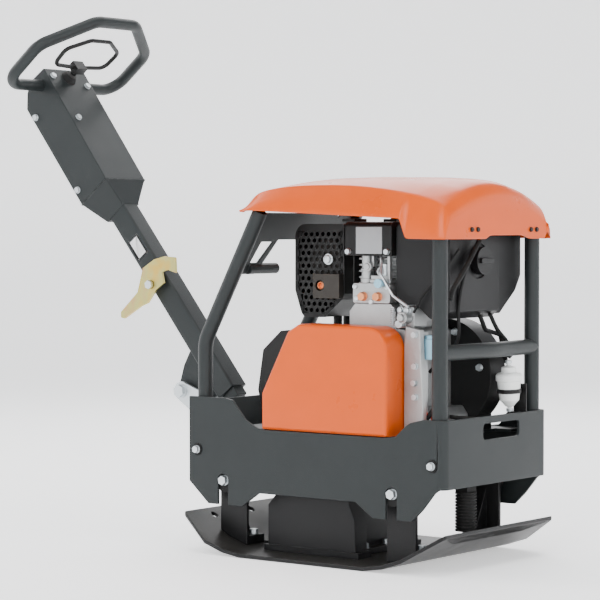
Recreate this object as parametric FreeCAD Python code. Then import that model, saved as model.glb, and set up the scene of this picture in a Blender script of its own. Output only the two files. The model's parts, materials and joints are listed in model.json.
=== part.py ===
import FreeCAD, Part
import math
import os

# Reversible vibratory plate compactor with a diesel engine.
# Millimetres. Origin: centre of the flat underside of the base plate.
# +X points to the front, +Y to the left side, +Z up.
# Bodies: base, exciter shafts, sprung upper frame, crank, folding handle and its small parts.

V = FreeCAD.Vector
X_AXIS = V(1, 0, 0)
Y_AXIS = V(0, 1, 0)
Z_AXIS = V(0, 0, 1)

# ---------------------------------------------------------------- driving dimensions
PLATE_HALF_WIDTH = 225.0
PLATE_THICK = 8.0
PLATE_FLAT_X = 150.0
PLATE_KNEE_X = 238.0
PLATE_KNEE_Z = 21.6
PLATE_TIP_X = 317.0
PLATE_TIP_Z = 70.0
PLATE_TIP_HALF_WIDTH = 193.0

SKIRT_X = 309.0
SKIRT_Y = 184.5
SKIRT_THICK = 6.0
SKIRT_FRONT_X = 261.0
SKIRT_REAR_X = -303.0
DECK_TOP = 251.5
SLOT_REAR_X = -222.0
SLOT_FRONT_X = 188.5
SLOT_WIDTH = 26.0
SLOT_TOP = 158.0
PORT_REAR_X = -288.0
PORT_FRONT_X = 282.0
PORT_Z = 204.0
PORT_DIA = 24.0

POST_DIA = 30.0
POST_WALL = 3.0
POST_FOOT_Z = 222.0
FRONT_POST_TOP = 670.0
POST_Y = 163.0
POST_FRONT_X = 285.0
POST_REAR_X = -284.0
POST_BEND_Z = 422.0
POST_TOP_X = -143.0
POST_TOP_Z = 683.0
CROSS_Z = 415.0
CROSS_BOW = 12.0

MOUNT_Z = 145.0
MOUNT_R = 24.0
MOUNT_OUTER_Y = SKIRT_Y - SKIRT_THICK
MOUNT_INNER_Y = 150.0

DRIVE_X = -25.0
DRIVEN_X = -105.0
EXCITER_Z = 70.0
GEAR_R = (DRIVE_X - DRIVEN_X) / 2
GEAR_TEETH = 20
BELT_Y = -129.0
BELT_WIDTH = 14.0
EXCITER_PULLEY_R = 38.0
CLUTCH_R = 52.0
CRANK_X = 110.0
CRANK_Z = 365.0
FIT = 0.05

PIVOT_X = -458.0
PIVOT_Z = 306.0
TILT = math.radians(38.6)
POLE_REAR = 63.5
POLE_FRONT = 113.0
POLE_HALF = 24.0
HEAD_HALF = 64.0
RING_D = 745.0
RING_DIA = 25.0
LATCH_D = 222.0
LATCH_N = 60.0
LOOP_DIA = 9.0

SHAPES = {}


# ---------------------------------------------------------------- helpers
def box(x0, x1, y0, y1, z0, z1):
    return Part.makeBox(x1 - x0, y1 - y0, z1 - z0, V(x0, y0, z0))


def cyl_x(x0, x1, y, z, r):
    return Part.makeCylinder(r, x1 - x0, V(x0, y, z), X_AXIS)


def cyl_y(y0, y1, x, z, r):
    return Part.makeCylinder(r, y1 - y0, V(x, y0, z), Y_AXIS)


def cyl_z(z0, z1, x, y, r):
    return Part.makeCylinder(r, z1 - z0, V(x, y, z0), Z_AXIS)


def rod(p0, p1, r):
    along = V(*p1) - V(*p0)
    return Part.makeCylinder(r, along.Length, V(*p0), along)


def prism_y(points, y0, y1):
    """Prism of an X-Z outline between two Y positions."""
    loop = [V(x, y0, z) for x, z in points]
    face = Part.Face(Part.makePolygon(loop + loop[:1]))
    return face.extrude(V(0, y1 - y0, 0))


def prism_z(points, z0, z1):
    loop = [V(x, y, z0) for x, y in points]
    face = Part.Face(Part.makePolygon(loop + loop[:1]))
    return face.extrude(V(0, 0, z1 - z0))


def prism_x(points, x0, x1):
    loop = [V(x0, y, z) for y, z in points]
    face = Part.Face(Part.makePolygon(loop + loop[:1]))
    return face.extrude(V(x1 - x0, 0, 0))


def round_edges(shape, axis, radius, near=None):
    """Fillet the straight edges that run along an axis, all or those that a test picks."""
    picked = []
    for edge in shape.Edges:
        if len(edge.Vertexes) != 2:
            continue
        along = edge.Vertexes[1].Point - edge.Vertexes[0].Point
        if along.Length < 1 or along.cross(axis).Length > 0.01 * along.Length:
            continue
        if near is None or near(edge.CenterOfMass):
            picked.append(edge)
    return shape.makeFillet(radius, picked)


def fuse(shapes):
    whole = shapes[0].multiFuse(shapes[1:])
    return whole.removeSplitter()


def mirror_y(shape):
    return shape.mirror(V(0, 0, 0), Y_AXIS)


def both_sides(shape):
    return [shape, mirror_y(shape)]


def bent_wire(points, radius):
    """Straight runs through the points, joined by tangent arcs of one radius."""
    pts = [V(*p) for p in points]
    edges = []
    start = pts[0]
    for before, corner, after in zip(pts, pts[1:], pts[2:]):
        u = (before - corner).normalize()
        w = (after - corner).normalize()
        half = u.getAngle(w) / 2
        back = radius / math.tan(half)
        first = corner + u * back
        last = corner + w * back
        middle_dir = (u + w).normalize()
        middle = corner + middle_dir * (radius / math.sin(half) - radius)
        edges.append(Part.LineSegment(start, first).toShape())
        edges.append(Part.Arc(first, middle, last).toShape())
        start = last
    edges.append(Part.LineSegment(start, pts[-1]).toShape())
    return Part.Wire(edges)


def bent_rod(points, bend_radius, r):
    spine = bent_wire(points, bend_radius)
    along = V(*points[1]) - V(*points[0])
    ring = Part.Wire(Part.makeCircle(r, V(*points[0]), along))
    return spine.makePipeShell([ring], True, False)


def bent_tube(points, bend_radius, r, wall):
    return bent_rod(points, bend_radius, r).cut(bent_rod(points, bend_radius, r - wall))


def hex_head(centre, axis, across, height):
    """Hexagonal head that stands on centre and rises along axis."""
    prism = []
    side = V(*axis).cross(V(0.3, 0.5, 0.8)).normalize()
    up = V(*axis).cross(side).normalize()
    for k in range(7):
        angle = math.radians(60 * k)
        reach = across / math.sqrt(3)
        prism.append(V(*centre) + side * (reach * math.cos(angle)) + up * (reach * math.sin(angle)))
    face = Part.Face(Part.makePolygon(prism))
    return face.extrude(V(*axis).normalize() * height)


def bolt(centre, axis, r, shank, across, height):
    """Washer and hexagonal head outside centre, shank inside it, along the inward side of axis."""
    out = V(*axis).normalize()
    spot = V(*centre)
    washer = Part.makeCylinder(across * 0.62, 1.6, spot, out)
    head = hex_head(tuple(spot + out * 1.6), tuple(out), across, height)
    pieces = [washer, head]
    if shank > 0:
        pieces.append(Part.makeCylinder(r, shank, spot - out * shank, out))
    return fuse(pieces)


def slant(d, n):
    """X and Z of a point d along the handle and n in front of it, from the fold pivot."""
    x = PIVOT_X - math.sin(TILT) * d + math.cos(TILT) * n
    z = PIVOT_Z + math.cos(TILT) * d + math.sin(TILT) * n
    return (x, z)


def slant_point(d, y, n):
    x, z = slant(d, n)
    return (x, y, z)


def slant_prism(points, y0, y1):
    return prism_y([slant(d, n) for d, n in points], y0, y1)


def keep(node, shapes):
    """Store one node; separate solids stay separate."""
    if not isinstance(shapes, list):
        shapes = [shapes]
    solids = []
    for shape in shapes:
        solids.extend(shape.Solids)
    SHAPES[node] = solids[0] if len(solids) == 1 else Part.makeCompound(solids)


def clear(shape, *nodes):
    """Cut away what other nodes already fill."""
    for node in nodes:
        shape = shape.cut(SHAPES[node])
    return shape


# ---------------------------------------------------------------- base plate and exciter
def make_base_plate():
    mid_x = (PLATE_FLAT_X + PLATE_KNEE_X) / 2
    mid_z = PLATE_KNEE_Z * 0.32
    half = [(0, 0), (PLATE_FLAT_X, 0), (mid_x, mid_z), (PLATE_KNEE_X, PLATE_KNEE_Z),
            (PLATE_TIP_X, PLATE_TIP_Z)]
    lower = [(-x, z) for x, z in reversed(half[1:])] + half
    upper = [(x, z + PLATE_THICK) for x, z in reversed(lower)]
    plate = prism_y(lower + upper, -PLATE_HALF_WIDTH, PLATE_HALF_WIDTH)
    plan = [
        (PLATE_KNEE_X, PLATE_HALF_WIDTH),
        (PLATE_TIP_X + 1, PLATE_TIP_HALF_WIDTH),
        (PLATE_TIP_X + 1, -PLATE_TIP_HALF_WIDTH),
        (PLATE_KNEE_X, -PLATE_HALF_WIDTH),
    ]
    outline = plan + [(-x, y) for x, y in reversed(plan)]
    plate = plate.common(prism_z(outline, -1, 120))
    holes = []
    for side in (-1, 1):
        for y in (-120, 0, 120):
            holes.append(cyl_z(30, 100, side * 296, y, 7))
    plate = plate.cut(Part.makeCompound(holes))
    corner = []
    for edge in plate.Edges:
        spot = edge.CenterOfMass
        at_tip = abs(abs(spot.x) - PLATE_TIP_X) < 3
        if at_tip and abs(abs(spot.y) - PLATE_TIP_HALF_WIDTH) < 3 and edge.Length < 12:
            corner.append(edge)
    keep("base_plate", plate.makeFillet(12, corner))


HOUSING_X0 = -160.0
HOUSING_X1 = 40.0
HOUSING_Y = 100.0
HOUSING_TOP = 126.0
HOUSING_WALL = 10.0


def make_exciter():
    shell = box(HOUSING_X0, HOUSING_X1, -HOUSING_Y, HOUSING_Y, PLATE_THICK, HOUSING_TOP)
    shell = round_edges(shell, Y_AXIS, 28, lambda c: c.z > 60)
    inside = box(HOUSING_X0 + HOUSING_WALL, HOUSING_X1 - HOUSING_WALL, -HOUSING_Y + HOUSING_WALL,
                 HOUSING_Y - HOUSING_WALL, PLATE_THICK + HOUSING_WALL, HOUSING_TOP - HOUSING_WALL)
    inside = round_edges(inside, Y_AXIS, 18, lambda c: c.z > 60)
    flange = box(HOUSING_X0 - 22, HOUSING_X1 + 22, -HOUSING_Y - 4, HOUSING_Y + 4,
                 PLATE_THICK, PLATE_THICK + 12)
    body = fuse([shell, flange]).cut(inside)
    for x in (DRIVE_X, DRIVEN_X):
        body = body.cut(cyl_y(-HOUSING_Y - 5, HOUSING_Y + 5, x, EXCITER_Z, 26))
    keep("exciter_housing", clear(body, "base_plate"))

    caps = []
    for x in (DRIVE_X, DRIVEN_X):
        for side in (-1, 1):
            y0, y1 = sorted((side * (HOUSING_Y - HOUSING_WALL), side * HOUSING_Y))
            insert = cyl_y(y0, y1, x, EXCITER_Z, 26 - FIT)
            f0, f1 = sorted((side * HOUSING_Y, side * (HOUSING_Y + 7)))
            cap = fuse([insert, cyl_y(f0, f1, x, EXCITER_Z, 34)])
            bore = cyl_y(-HOUSING_Y - 9, HOUSING_Y + 9, x, EXCITER_Z, 12 + FIT)
            caps.append(cap.cut(bore))
    keep("exciter_bearing_caps", caps)

    def shaft(x, y0, y1):
        core = cyl_y(y0, y1, x, EXCITER_Z, 12)
        weight = cyl_y(-60, 44, x, EXCITER_Z, 34)
        weight = weight.cut(box(x - 40, x + 40, -61, 45, EXCITER_Z + 3, EXCITER_Z + 40))
        return fuse([core, weight])

    keep("exciter_drive_shaft", shaft(DRIVE_X, -142, HOUSING_Y + 6))
    keep("exciter_driven_shaft", shaft(DRIVEN_X, -HOUSING_Y - 5, HOUSING_Y + 6))
    keep("exciter_drive_gear", gear(DRIVE_X, 0.0))
    keep("exciter_driven_gear", gear(DRIVEN_X, 0.5))
    keep("exciter_pulley", pulley(DRIVE_X, EXCITER_Z, EXCITER_PULLEY_R, 12))


def gear(x, phase):
    """Spur gear; the tooth space of one meets the tooth of the other on the centre line."""
    step = 2 * math.pi / GEAR_TEETH
    root, tip = GEAR_R - 4.2, GEAR_R + 3.4
    points = []
    for k in range(GEAR_TEETH):
        centre = (k + phase) * step
        for turn, radius in ((-0.29, root), (-0.13, tip), (0.13, tip), (0.29, root)):
            angle = centre + turn * step
            points.append((x + radius * math.cos(angle), EXCITER_Z + radius * math.sin(angle)))
    blank = prism_y(points, 52, 78)
    return blank.cut(cyl_y(50, 80, x, EXCITER_Z, 12))


def pulley(x, z, radius, bore):
    half = BELT_WIDTH / 2 + 5
    rim = cyl_y(BELT_Y - half, BELT_Y + half, x, z, radius + 6)
    groove_points = [(radius - 5, -BELT_WIDTH / 2 + 2), (radius + 7, -BELT_WIDTH / 2 - 1.2),
                     (radius + 7, BELT_WIDTH / 2 + 1.2), (radius - 5, BELT_WIDTH / 2 - 2)]
    loop = [V(x + r, BELT_Y + y, z) for r, y in groove_points]
    profile = Part.Face(Part.makePolygon(loop + loop[:1]))
    groove = profile.revolve(V(x, BELT_Y, z), Y_AXIS, 360)
    rim = rim.cut(groove)
    return rim.cut(cyl_y(BELT_Y - half - 1, BELT_Y + half + 1, x, z, bore))


LOWER_COVER_Y = -146.0


def make_lower_belt_cover():
    outline = [(-138, 20.5), (-138, 100), (-118, 122), (63, 122), (63, 112), (75, 84), (78, 20.5)]
    skin = prism_y(outline, LOWER_COVER_Y, -107.5)
    inner = [(-132, 19), (-132, 98), (-115, 116), (30, 116), (57, 116), (57, 108), (69, 82), (72, 19)]
    hollow = prism_y(inner, LOWER_COVER_Y + 3, -100)
    cover = skin.cut(hollow)
    belt_gap = box(-75, 58, LOWER_COVER_Y + 3, -100, 110, 130)
    cover = cover.cut(belt_gap)
    foot = box(-146, 86, LOWER_COVER_Y - 2, -104.5, PLATE_THICK, 20.5)
    cover = fuse([cover, foot])
    keep("lower_belt_cover", cover)


BRACKET_HALF = 34.0


def make_mount_brackets():
    brackets = []
    bolts = []
    for x in (SLOT_REAR_X, SLOT_FRONT_X):
        upright = box(x - BRACKET_HALF, x + BRACKET_HALF, -MOUNT_INNER_Y, -MOUNT_INNER_Y + 8, 24, 176)
        upright = round_edges(upright, Y_AXIS, 16, lambda c: c.z > 100)
        foot = box(x - BRACKET_HALF, x + BRACKET_HALF, -MOUNT_INNER_Y, -MOUNT_INNER_Y + 58, 0, 32)
        rib = prism_x([(-142, 32), (-142, 130), (-96, 32)], x - 4, x + 4)
        one = fuse([upright, foot, rib])
        one = one.cut(cyl_y(-160, -130, x, MOUNT_Z, 6))
        brackets += both_sides(one)
        for dx in (-22, 22):
            if abs(x + dx) < PLATE_KNEE_X:
                bolts += both_sides(bolt((x + dx, -112, 32), (0, 0, 1), 6, 0, 16, 9))
    plate_top = SHAPES["base_plate"]
    trimmed = []
    for one in brackets:
        left = one.cut(plate_top)
        trimmed.append(max(left.Solids, key=lambda s: s.Volume))
    keep("mount_brackets", trimmed)
    for x in (HOUSING_X0 - 11, HOUSING_X1 + 11):
        for y in (-80, 0, 80):
            bolts.append(bolt((x, y, PLATE_THICK + 12), (0, 0, 1), 6, 0, 16, 9))
    keep("base_bolts", bolts)


# ---------------------------------------------------------------- sprung lower frame
def make_skirt():
    out = SKIRT_Y
    side = [
        (-SKIRT_X, 139), (-SKIRT_X, 310.5), (-216, 310.5), (-198, 307), (-165, 269), (-135, 254),
        (-121, 251.5),
        (171, 251.5), (198, 255), (221, 276), (232, 283), (SKIRT_FRONT_X, 290), (SKIRT_FRONT_X, 120.5),
        (236, 96.3), (146, 96.3), (103.5, 125), (-131, 125), (-173, 96.3), (-260, 96.3),
    ]
    for sign, node in ((-1, "side_plate_right"), (1, "side_plate_left")):
        y0, y1 = sorted((sign * out, sign * (out - SKIRT_THICK)))
        plate = prism_y(side, y0, y1)
        for x in (SLOT_REAR_X, SLOT_FRONT_X):
            half = SLOT_WIDTH / 2
            plate = plate.cut(box(x - half, x + half, y0 - 1, y1 + 1, 90, SLOT_TOP - half))
            plate = plate.cut(cyl_y(y0 - 1, y1 + 1, x, SLOT_TOP - half, half))
        plate = plate.cut(cyl_y(y0 - 1, y1 + 1, PORT_REAR_X, PORT_Z, PORT_DIA / 2))
        keep(node, plate)

    wrap = box(SKIRT_FRONT_X, SKIRT_X, -out, out, 100, 290)
    wrap = round_edges(wrap, Z_AXIS, 18, lambda c: c.x > 300)
    core = box(SKIRT_FRONT_X - 1, SKIRT_X - SKIRT_THICK, -out + SKIRT_THICK, out - SKIRT_THICK, 90, 300)
    core = round_edges(core, Z_AXIS, 12, lambda c: c.x > 300)
    front = wrap.cut(core)
    lower = prism_y([(SKIRT_FRONT_X - 1, 80), (SKIRT_FRONT_X - 1, 120.5), (288, 153),
                     (297, 159.3), (320, 159.3),
                     (320, 80)], -200, 200)
    front = front.cut(lower)
    window = box(300, 315, -49, 80, 245, 276)
    front = front.cut(round_edges(window, X_AXIS, 8))
    for side_y in (-out, out):
        front = front.cut(cyl_y(side_y - 8, side_y + 8, PORT_FRONT_X, PORT_Z, PORT_DIA / 2))
    keep("front_plate", front)

    rear = box(-SKIRT_X, SKIRT_REAR_X, -out + SKIRT_THICK, out - SKIRT_THICK, 139, 300)
    keep("rear_plate", rear)

    deck = box(-215, 258, -out + SKIRT_THICK, out - SKIRT_THICK, DECK_TOP - 6, DECK_TOP)
    deck = deck.cut(box(-72, 172, -152, -106, 200, 300))
    deck = deck.cut(box(222, 262, -130, 130, 200, 300))
    keep("engine_deck", deck)


def make_posts():
    r = POST_DIA / 2
    inner = MOUNT_OUTER_Y
    front = []
    for sign in (-1, 1):
        tube = cyl_z(POST_FOOT_Z, FRONT_POST_TOP, POST_FRONT_X, sign * POST_Y, r)
        bore = cyl_z(POST_FOOT_Z - 1, FRONT_POST_TOP + 1, POST_FRONT_X, sign * POST_Y, r - POST_WALL)
        tube = tube.cut(bore)
        front.append(tube)
    feet = []
    for sign in (-1, 1):
        pad = box(264, 302.5, min(sign * 146, sign * inner), max(sign * 146, sign * inner),
                  POST_FOOT_Z - 8, POST_FOOT_Z)
        feet.append(pad.cut(SHAPES["front_plate"]))
    keep("front_posts", [clear(post, "hood") for post in front] + feet)

    rear = []
    for sign in (-1, 1):
        y = sign * POST_Y
        path = [(POST_REAR_X, y, 235), (POST_REAR_X, y, POST_BEND_Z), (POST_TOP_X, y, POST_TOP_Z)]
        rear.append(bent_tube(path, 70, r, POST_WALL))
    cross_path = [(POST_FRONT_X, -POST_Y, CROSS_Z), (POST_FRONT_X + CROSS_BOW, 0, CROSS_Z),
                  (POST_FRONT_X, POST_Y, CROSS_Z)]
    cross = bent_tube(cross_path, 400, r, POST_WALL)
    for sign in (-1, 1):
        cross = cross.cut(cyl_z(CROSS_Z - 40, CROSS_Z + 40, POST_FRONT_X, sign * POST_Y, r))
    keep("cross_tube", max(cross.Solids, key=lambda solid: solid.Volume))
    keep("rear_posts", [clear(post, "hood") for post in rear])


def lean_x(z):
    """X of the rear posts' leaning stretch at a height."""
    slope = (POST_TOP_X - POST_REAR_X) / (POST_TOP_Z - POST_BEND_Z)
    return POST_REAR_X + (z - POST_BEND_Z) * slope


def make_gusset():
    strip = [(lean_x(z) + dx, z) for z, dx in ((557, -2.5), (680, -2.5), (680, 2.5), (557, 2.5))]
    plate = prism_y(strip, -150.2, 150.2)
    outline = [(-150.2, 557), (-100, 557), (-86, 580), (-68, 626), (150.2, 626), (150.2, 680), (110, 680),
               (103, 671), (96, 680), (-150.2, 680)]
    plate = plate.common(prism_x(outline, -300, 0))
    window = [(-128, 580), (-104, 580), (-83, 622), (-120, 622)]
    plate = plate.cut(prism_x(window, -300, 0))
    bar = cyl_y(-126, -34, lean_x(568), 568, 11)
    keep("rear_gusset", clear(fuse([plate, bar]), "rear_posts"))


HOOD_WALL = 4.0
# station: x, half width at the bottom, height of the side crease, height at y 90, height at the middle
HOOD_STATIONS = [
    (-176, 192, 688, 690, 691),
    (-146, 194, 719, 724, 727),
    (-71, 195, 729, 742, 748),
    (77, 196, 733, 746, 751),
    (220, 195, 717, 738, 747),
    (284, 194, 700, 728, 742),
    (300, 192, 690, 718, 732),
    (312, 188, 664, 690, 700),
]


def hood_section(station, inset):
    x, half, crease, shoulder, middle = station
    x = x + inset if x < 0 and x == HOOD_STATIONS[0][0] else x
    x = x - inset if x == HOOD_STATIONS[-1][0] else x
    low = 600 if inset == 0 else 590
    side = [(half - inset, low), (half - inset - 2, 660), (171 - inset, crease - inset),
            (90, shoulder - inset)]
    loop = [V(x, -y, z) for y, z in side] + [V(x, 0, middle - inset)]
    loop += [V(x, y, z) for y, z in reversed(side)]
    return Part.makePolygon(loop + loop[:1])


def make_hood():
    outer = Part.makeLoft([hood_section(s, 0) for s in HOOD_STATIONS], True, True)
    inner = Part.makeLoft([hood_section(s, HOOD_WALL) for s in HOOD_STATIONS], True, True)
    hood = outer.cut(inner)
    below = [(-200, 580), (-200, 686), (-176, 686), (-107, 683), (214, 668), (227, 630),
             (296, 629), (330, 629),
             (330, 580)]
    hood = hood.cut(prism_y(below, -220, 220))
    notch = prism_x([(-37, 600), (-37, 636), (98, 636), (98, 600)], 280, 330)
    hood = hood.cut(notch)
    opening = round_edges(box(-18, 58, -50, 50, 700, 780), Z_AXIS, 14)
    keep("hood", hood.cut(opening))
    screws = []
    for y in (-97, -76, 114, 135):
        screws.append(bolt((312, y, 647), (1, 0, 0), 3, 0, 8, 2.5))
    return [clear(s, "hood") for s in screws]


def make_lifting_bar():
    top = 716
    path = [(20, -70, 667), (20, -36, top), (20, 36, top), (20, 70, 667)]
    bar = bent_rod(path, 20, 8)
    feet = [box(4, 36, y - 20, y + 20, 662, 668) for y in (-70, 70)]
    keep("lifting_bar", fuse([bar] + feet))


def make_handle_bracket():
    inner = POLE_HALF + 2
    plates = []
    outline = [(PIVOT_X - 12, PIVOT_Z - 16), (-SKIRT_X - 6, 186), (-SKIRT_X - 6, 268), (-384, 300),
               (PIVOT_X + 10, PIVOT_Z + 17)]
    for sign in (-1, 1):
        y0, y1 = sorted((sign * inner, sign * (inner + 8)))
        cheek = fuse([prism_y(outline, y0, y1), cyl_y(y0, y1, PIVOT_X, PIVOT_Z, 20)])
        plates.append(cheek)
    flange = box(-SKIRT_X - 6, -SKIRT_X, -62, 62, 186, 266)
    web = box(-384, -SKIRT_X - 6, -inner, inner, 196, 204)
    bracket = fuse(plates + [flange, web])
    bracket = bracket.cut(cyl_y(-60, 60, PIVOT_X, PIVOT_Z, 8 + FIT))
    keep("handle_bracket", bracket)
    pin = cyl_y(-42, 42, PIVOT_X, PIVOT_Z, 8)
    ends = [hex_head((PIVOT_X, sign * 35.6, PIVOT_Z), (0, sign, 0), 24, 9) for sign in (-1, 1)]
    washers = []
    for sign in (-1, 1):
        y0, y1 = sorted((sign * 34, sign * 35.6))
        washers.append(cyl_y(y0, y1, PIVOT_X, PIVOT_Z, 15))
    keep("fold_pin", fuse([pin] + ends + washers))
    bolts = []
    for y in (-48, 48):
        for z in (202, 250):
            bolts.append(bolt((-SKIRT_X - 6, y, z), (-1, 0, 0), 5, 0, 14, 7))
    return bolts


def make_mounts():
    rubbers = []
    bolts = []
    grommets = []
    for x in (SLOT_REAR_X, SLOT_FRONT_X):
        block = cyl_y(-MOUNT_OUTER_Y, -MOUNT_INNER_Y, x, MOUNT_Z, MOUNT_R)
        rubbers += both_sides(block.cut(cyl_y(-200, -100, x, MOUNT_Z, 5.5)))
        bolts += both_sides(bolt((x, -MOUNT_OUTER_Y, MOUNT_Z), (0, -1, 0), 5, 16, 17, 9))
    for x in (PORT_REAR_X, PORT_FRONT_X):
        ring = cyl_y(-SKIRT_Y - 1.5, -SKIRT_Y + SKIRT_THICK, x, PORT_Z, PORT_DIA / 2 - 0.3)
        grommets += both_sides(ring.cut(cyl_y(-200, -170, x, PORT_Z, 6.5)))
        bolts += both_sides(bolt((x, -SKIRT_Y - 1.5, PORT_Z), (0, -1, 0), 5, 7, 13, 6))
    keep("rubber_mounts", rubbers)
    keep("port_grommets", [clear(g, "front_plate") for g in grommets])
    return bolts


# ---------------------------------------------------------------- engine
ENGINE_Y = -112.0
FAN_X = 147.0
FAN_Z = 361.0


def make_engine():
    face = [(24, DECK_TOP), (206, DECK_TOP), (206, 452), (148, 456), (148, 488), (136, 504),
            (52, 504), (38, 488),
            (38, 452), (30, 420), (30, 300), (24, 290)]
    block = [(24, DECK_TOP), (204, DECK_TOP), (204, 284), (192, 300), (192, 440), (148, 456),
             (148, 504), (38, 504),
             (38, 452), (30, 420), (30, 300), (24, 290)]
    case = fuse([prism_y(face, ENGINE_Y, -84), prism_y(block, -84, 58)])
    case = case.cut(box(164, 210, -70, 59, 300, 460))
    case = case.cut(cyl_y(-120, 70, CRANK_X, CRANK_Z, 16 + FIT))
    chamber = cyl_y(-76, 30, CRANK_X, CRANK_Z, 48)
    case = case.cut(chamber)
    keep("crankcase", case)

    journal = cyl_y(-141, 110, CRANK_X, CRANK_Z, 16)
    webs = [cyl_y(y, y + 20, CRANK_X, CRANK_Z, 46) for y in (-58, -14)]
    pin = cyl_y(-40, -12, CRANK_X, CRANK_Z + 30, 13)
    keep("crankshaft", fuse([journal, pin] + webs))
    keep("clutch_pulley", pulley(CRANK_X, CRANK_Z, CLUTCH_R, 16))

    disc = cyl_y(74, 84, CRANK_X, CRANK_Z, 66)
    blades = []
    for k in range(12):
        blade = box(CRANK_X + 30, CRANK_X + 64, 84, 98, CRANK_Z - 1.5, CRANK_Z + 1.5)
        blade.rotate(V(CRANK_X, 0, CRANK_Z), Y_AXIS, 30 * k)
        blades.append(blade)
    wheel = fuse([disc] + blades).cut(cyl_y(60, 120, CRANK_X, CRANK_Z, 16))
    keep("flywheel", wheel)

    drum = cyl_y(58, 112, FAN_X, FAN_Z, 110)
    drum = drum.cut(cyl_y(64, 109, FAN_X, FAN_Z, 106))
    drum = drum.cut(cyl_y(50, 65, CRANK_X, CRANK_Z, 20))
    drum = drum.cut(cyl_y(105, 120, CRANK_X, CRANK_Z, 62))
    foot = prism_y([(70, DECK_TOP), (224, DECK_TOP), (224, 290), (70, 290)], 58, 112)
    foot = foot.cut(cyl_y(50, 120, FAN_X, FAN_Z, 109))
    keep("fan_housing", clear(fuse([drum, foot]), "engine_deck"))

    cover = cyl_y(112, 138, CRANK_X, CRANK_Z, 72)
    outer = [e for e in cover.Edges if abs(e.CenterOfMass.y - 138) < 0.5 and e.Closed]
    cover = cover.makeFillet(10, outer[:1])
    cover = cover.cut(cyl_y(111, 133, CRANK_X, CRANK_Z, 66))
    for k in range(10):
        slot = box(CRANK_X + 34, CRANK_X + 58, 120, 150, CRANK_Z - 4, CRANK_Z + 4)
        slot.rotate(V(CRANK_X, 0, CRANK_Z), Y_AXIS, 36 * k)
        cover = cover.cut(slot)
    grip = fuse([cyl_y(138, 148, CRANK_X + 10, CRANK_Z + 20, 6), box(CRANK_X - 18, CRANK_X + 38, 148, 160,
                                                                     CRANK_Z + 12, CRANK_Z + 28)])
    grip = round_edges(grip, Y_AXIS, 6, lambda c: c.y > 149)
    keep("recoil_cover", [cover, grip])

    fins = [cyl_z(504, 628, 96, -24, 42)]
    for k in range(9):
        z = 516 + 12 * k
        fins.append(round_edges(box(38, 142, -88, 40, z, z + 4), Z_AXIS, 12))
    keep("cylinder", fuse(fins))

    shroud = round_edges(box(31, 142, -117, 62, 596, 662), X_AXIS, 10, lambda c: c.z > 650)
    shroud = shroud.cut(box(20, 139, -114, 59, 590, 658))
    side = box(31, 34, -90, 59, 512, 596)
    shroud = fuse([shroud, side]).cut(box(30, 36, -38, -2, 562, 600))
    keep("engine_shroud", clear(shroud, "cylinder"))
    keep("data_plate", box(58, 120, -118.2, -117, 600, 652))


def make_engine_side():
    """Parts on the right side of the engine: covers, injection unit, plugs and bolts."""
    flange = round_edges(box(50, 138, -117, -90, 504.2, 543), Y_AXIS, 5)
    flange = clear(flange, "cylinder", "crankcase")
    keep("valve_cover", max(flange.Solids, key=lambda s: s.Volume))
    plugs = [bolt((x, -117, 508 + 9), (0, -1, 0), 4, 0, 15, 9) for x in (76, 111)]
    keep("copper_plugs", plugs)
    strip = [(177, 256), (220, 256), (222, 300), (214, 456), (181, 462), (177, 424)]
    cover = prism_y(strip, -126, ENGINE_Y)
    keep("timing_cover", clear(cover, "crankcase"))
    body = round_edges(box(152, 192, -112, -70, 458, 499), Y_AXIS, 6)
    cone = cyl_y(-134, -112, 178, 478, 11)
    unit = fuse([body, cone, cyl_y(-142, -134, 178, 478, 7)])
    keep("injection_pump", unit)
    line = bent_rod([(186, -124, 499), (150, -124, 520), (120, -122, 560), (112, -104, 590)], 12, 3)
    line = clear(line, "injection_pump", "engine_shroud", "cylinder")
    injector = clear(cyl_z(556, 580, 118, -104, 8), "cylinder", "engine_shroud").cut(line)
    keep("injection_line", [line, injector])
    bolts = [bolt((x, -126, z), (0, -1, 0), 3, 0, 11, 5) for x, z in ((203, 446), (204, 386), (202, 354),
                                                                      (204, 327))]
    for x, z in ((40, 604), (132, 604)):
        bolts.append(bolt((x, -117, z), (0, -1, 0), 3, 0, 10, 5))
    for x, z in ((FAN_X + 60, FAN_Z + 80), (FAN_X + 84, FAN_Z + 15), (FAN_X + 46, FAN_Z - 92)):
        bolts.append(bolt((x, 112, z), (0, 1, 0), 3, 0, 12, 5))
    for x, z in ((FAN_X + 26, FAN_Z + 84), (FAN_X + 84, FAN_Z + 15)):
        bolts.append(bolt((x, 58, z), (0, -1, 0), 3, 0, 12, 5))
    for x in (40, 198):
        for y in (-80, 40):
            bolts.append(bolt((x, y, DECK_TOP - 6), (0, 0, -1), 4, 0, 14, 7))
    return bolts


FILTER_X = 284.0


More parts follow.
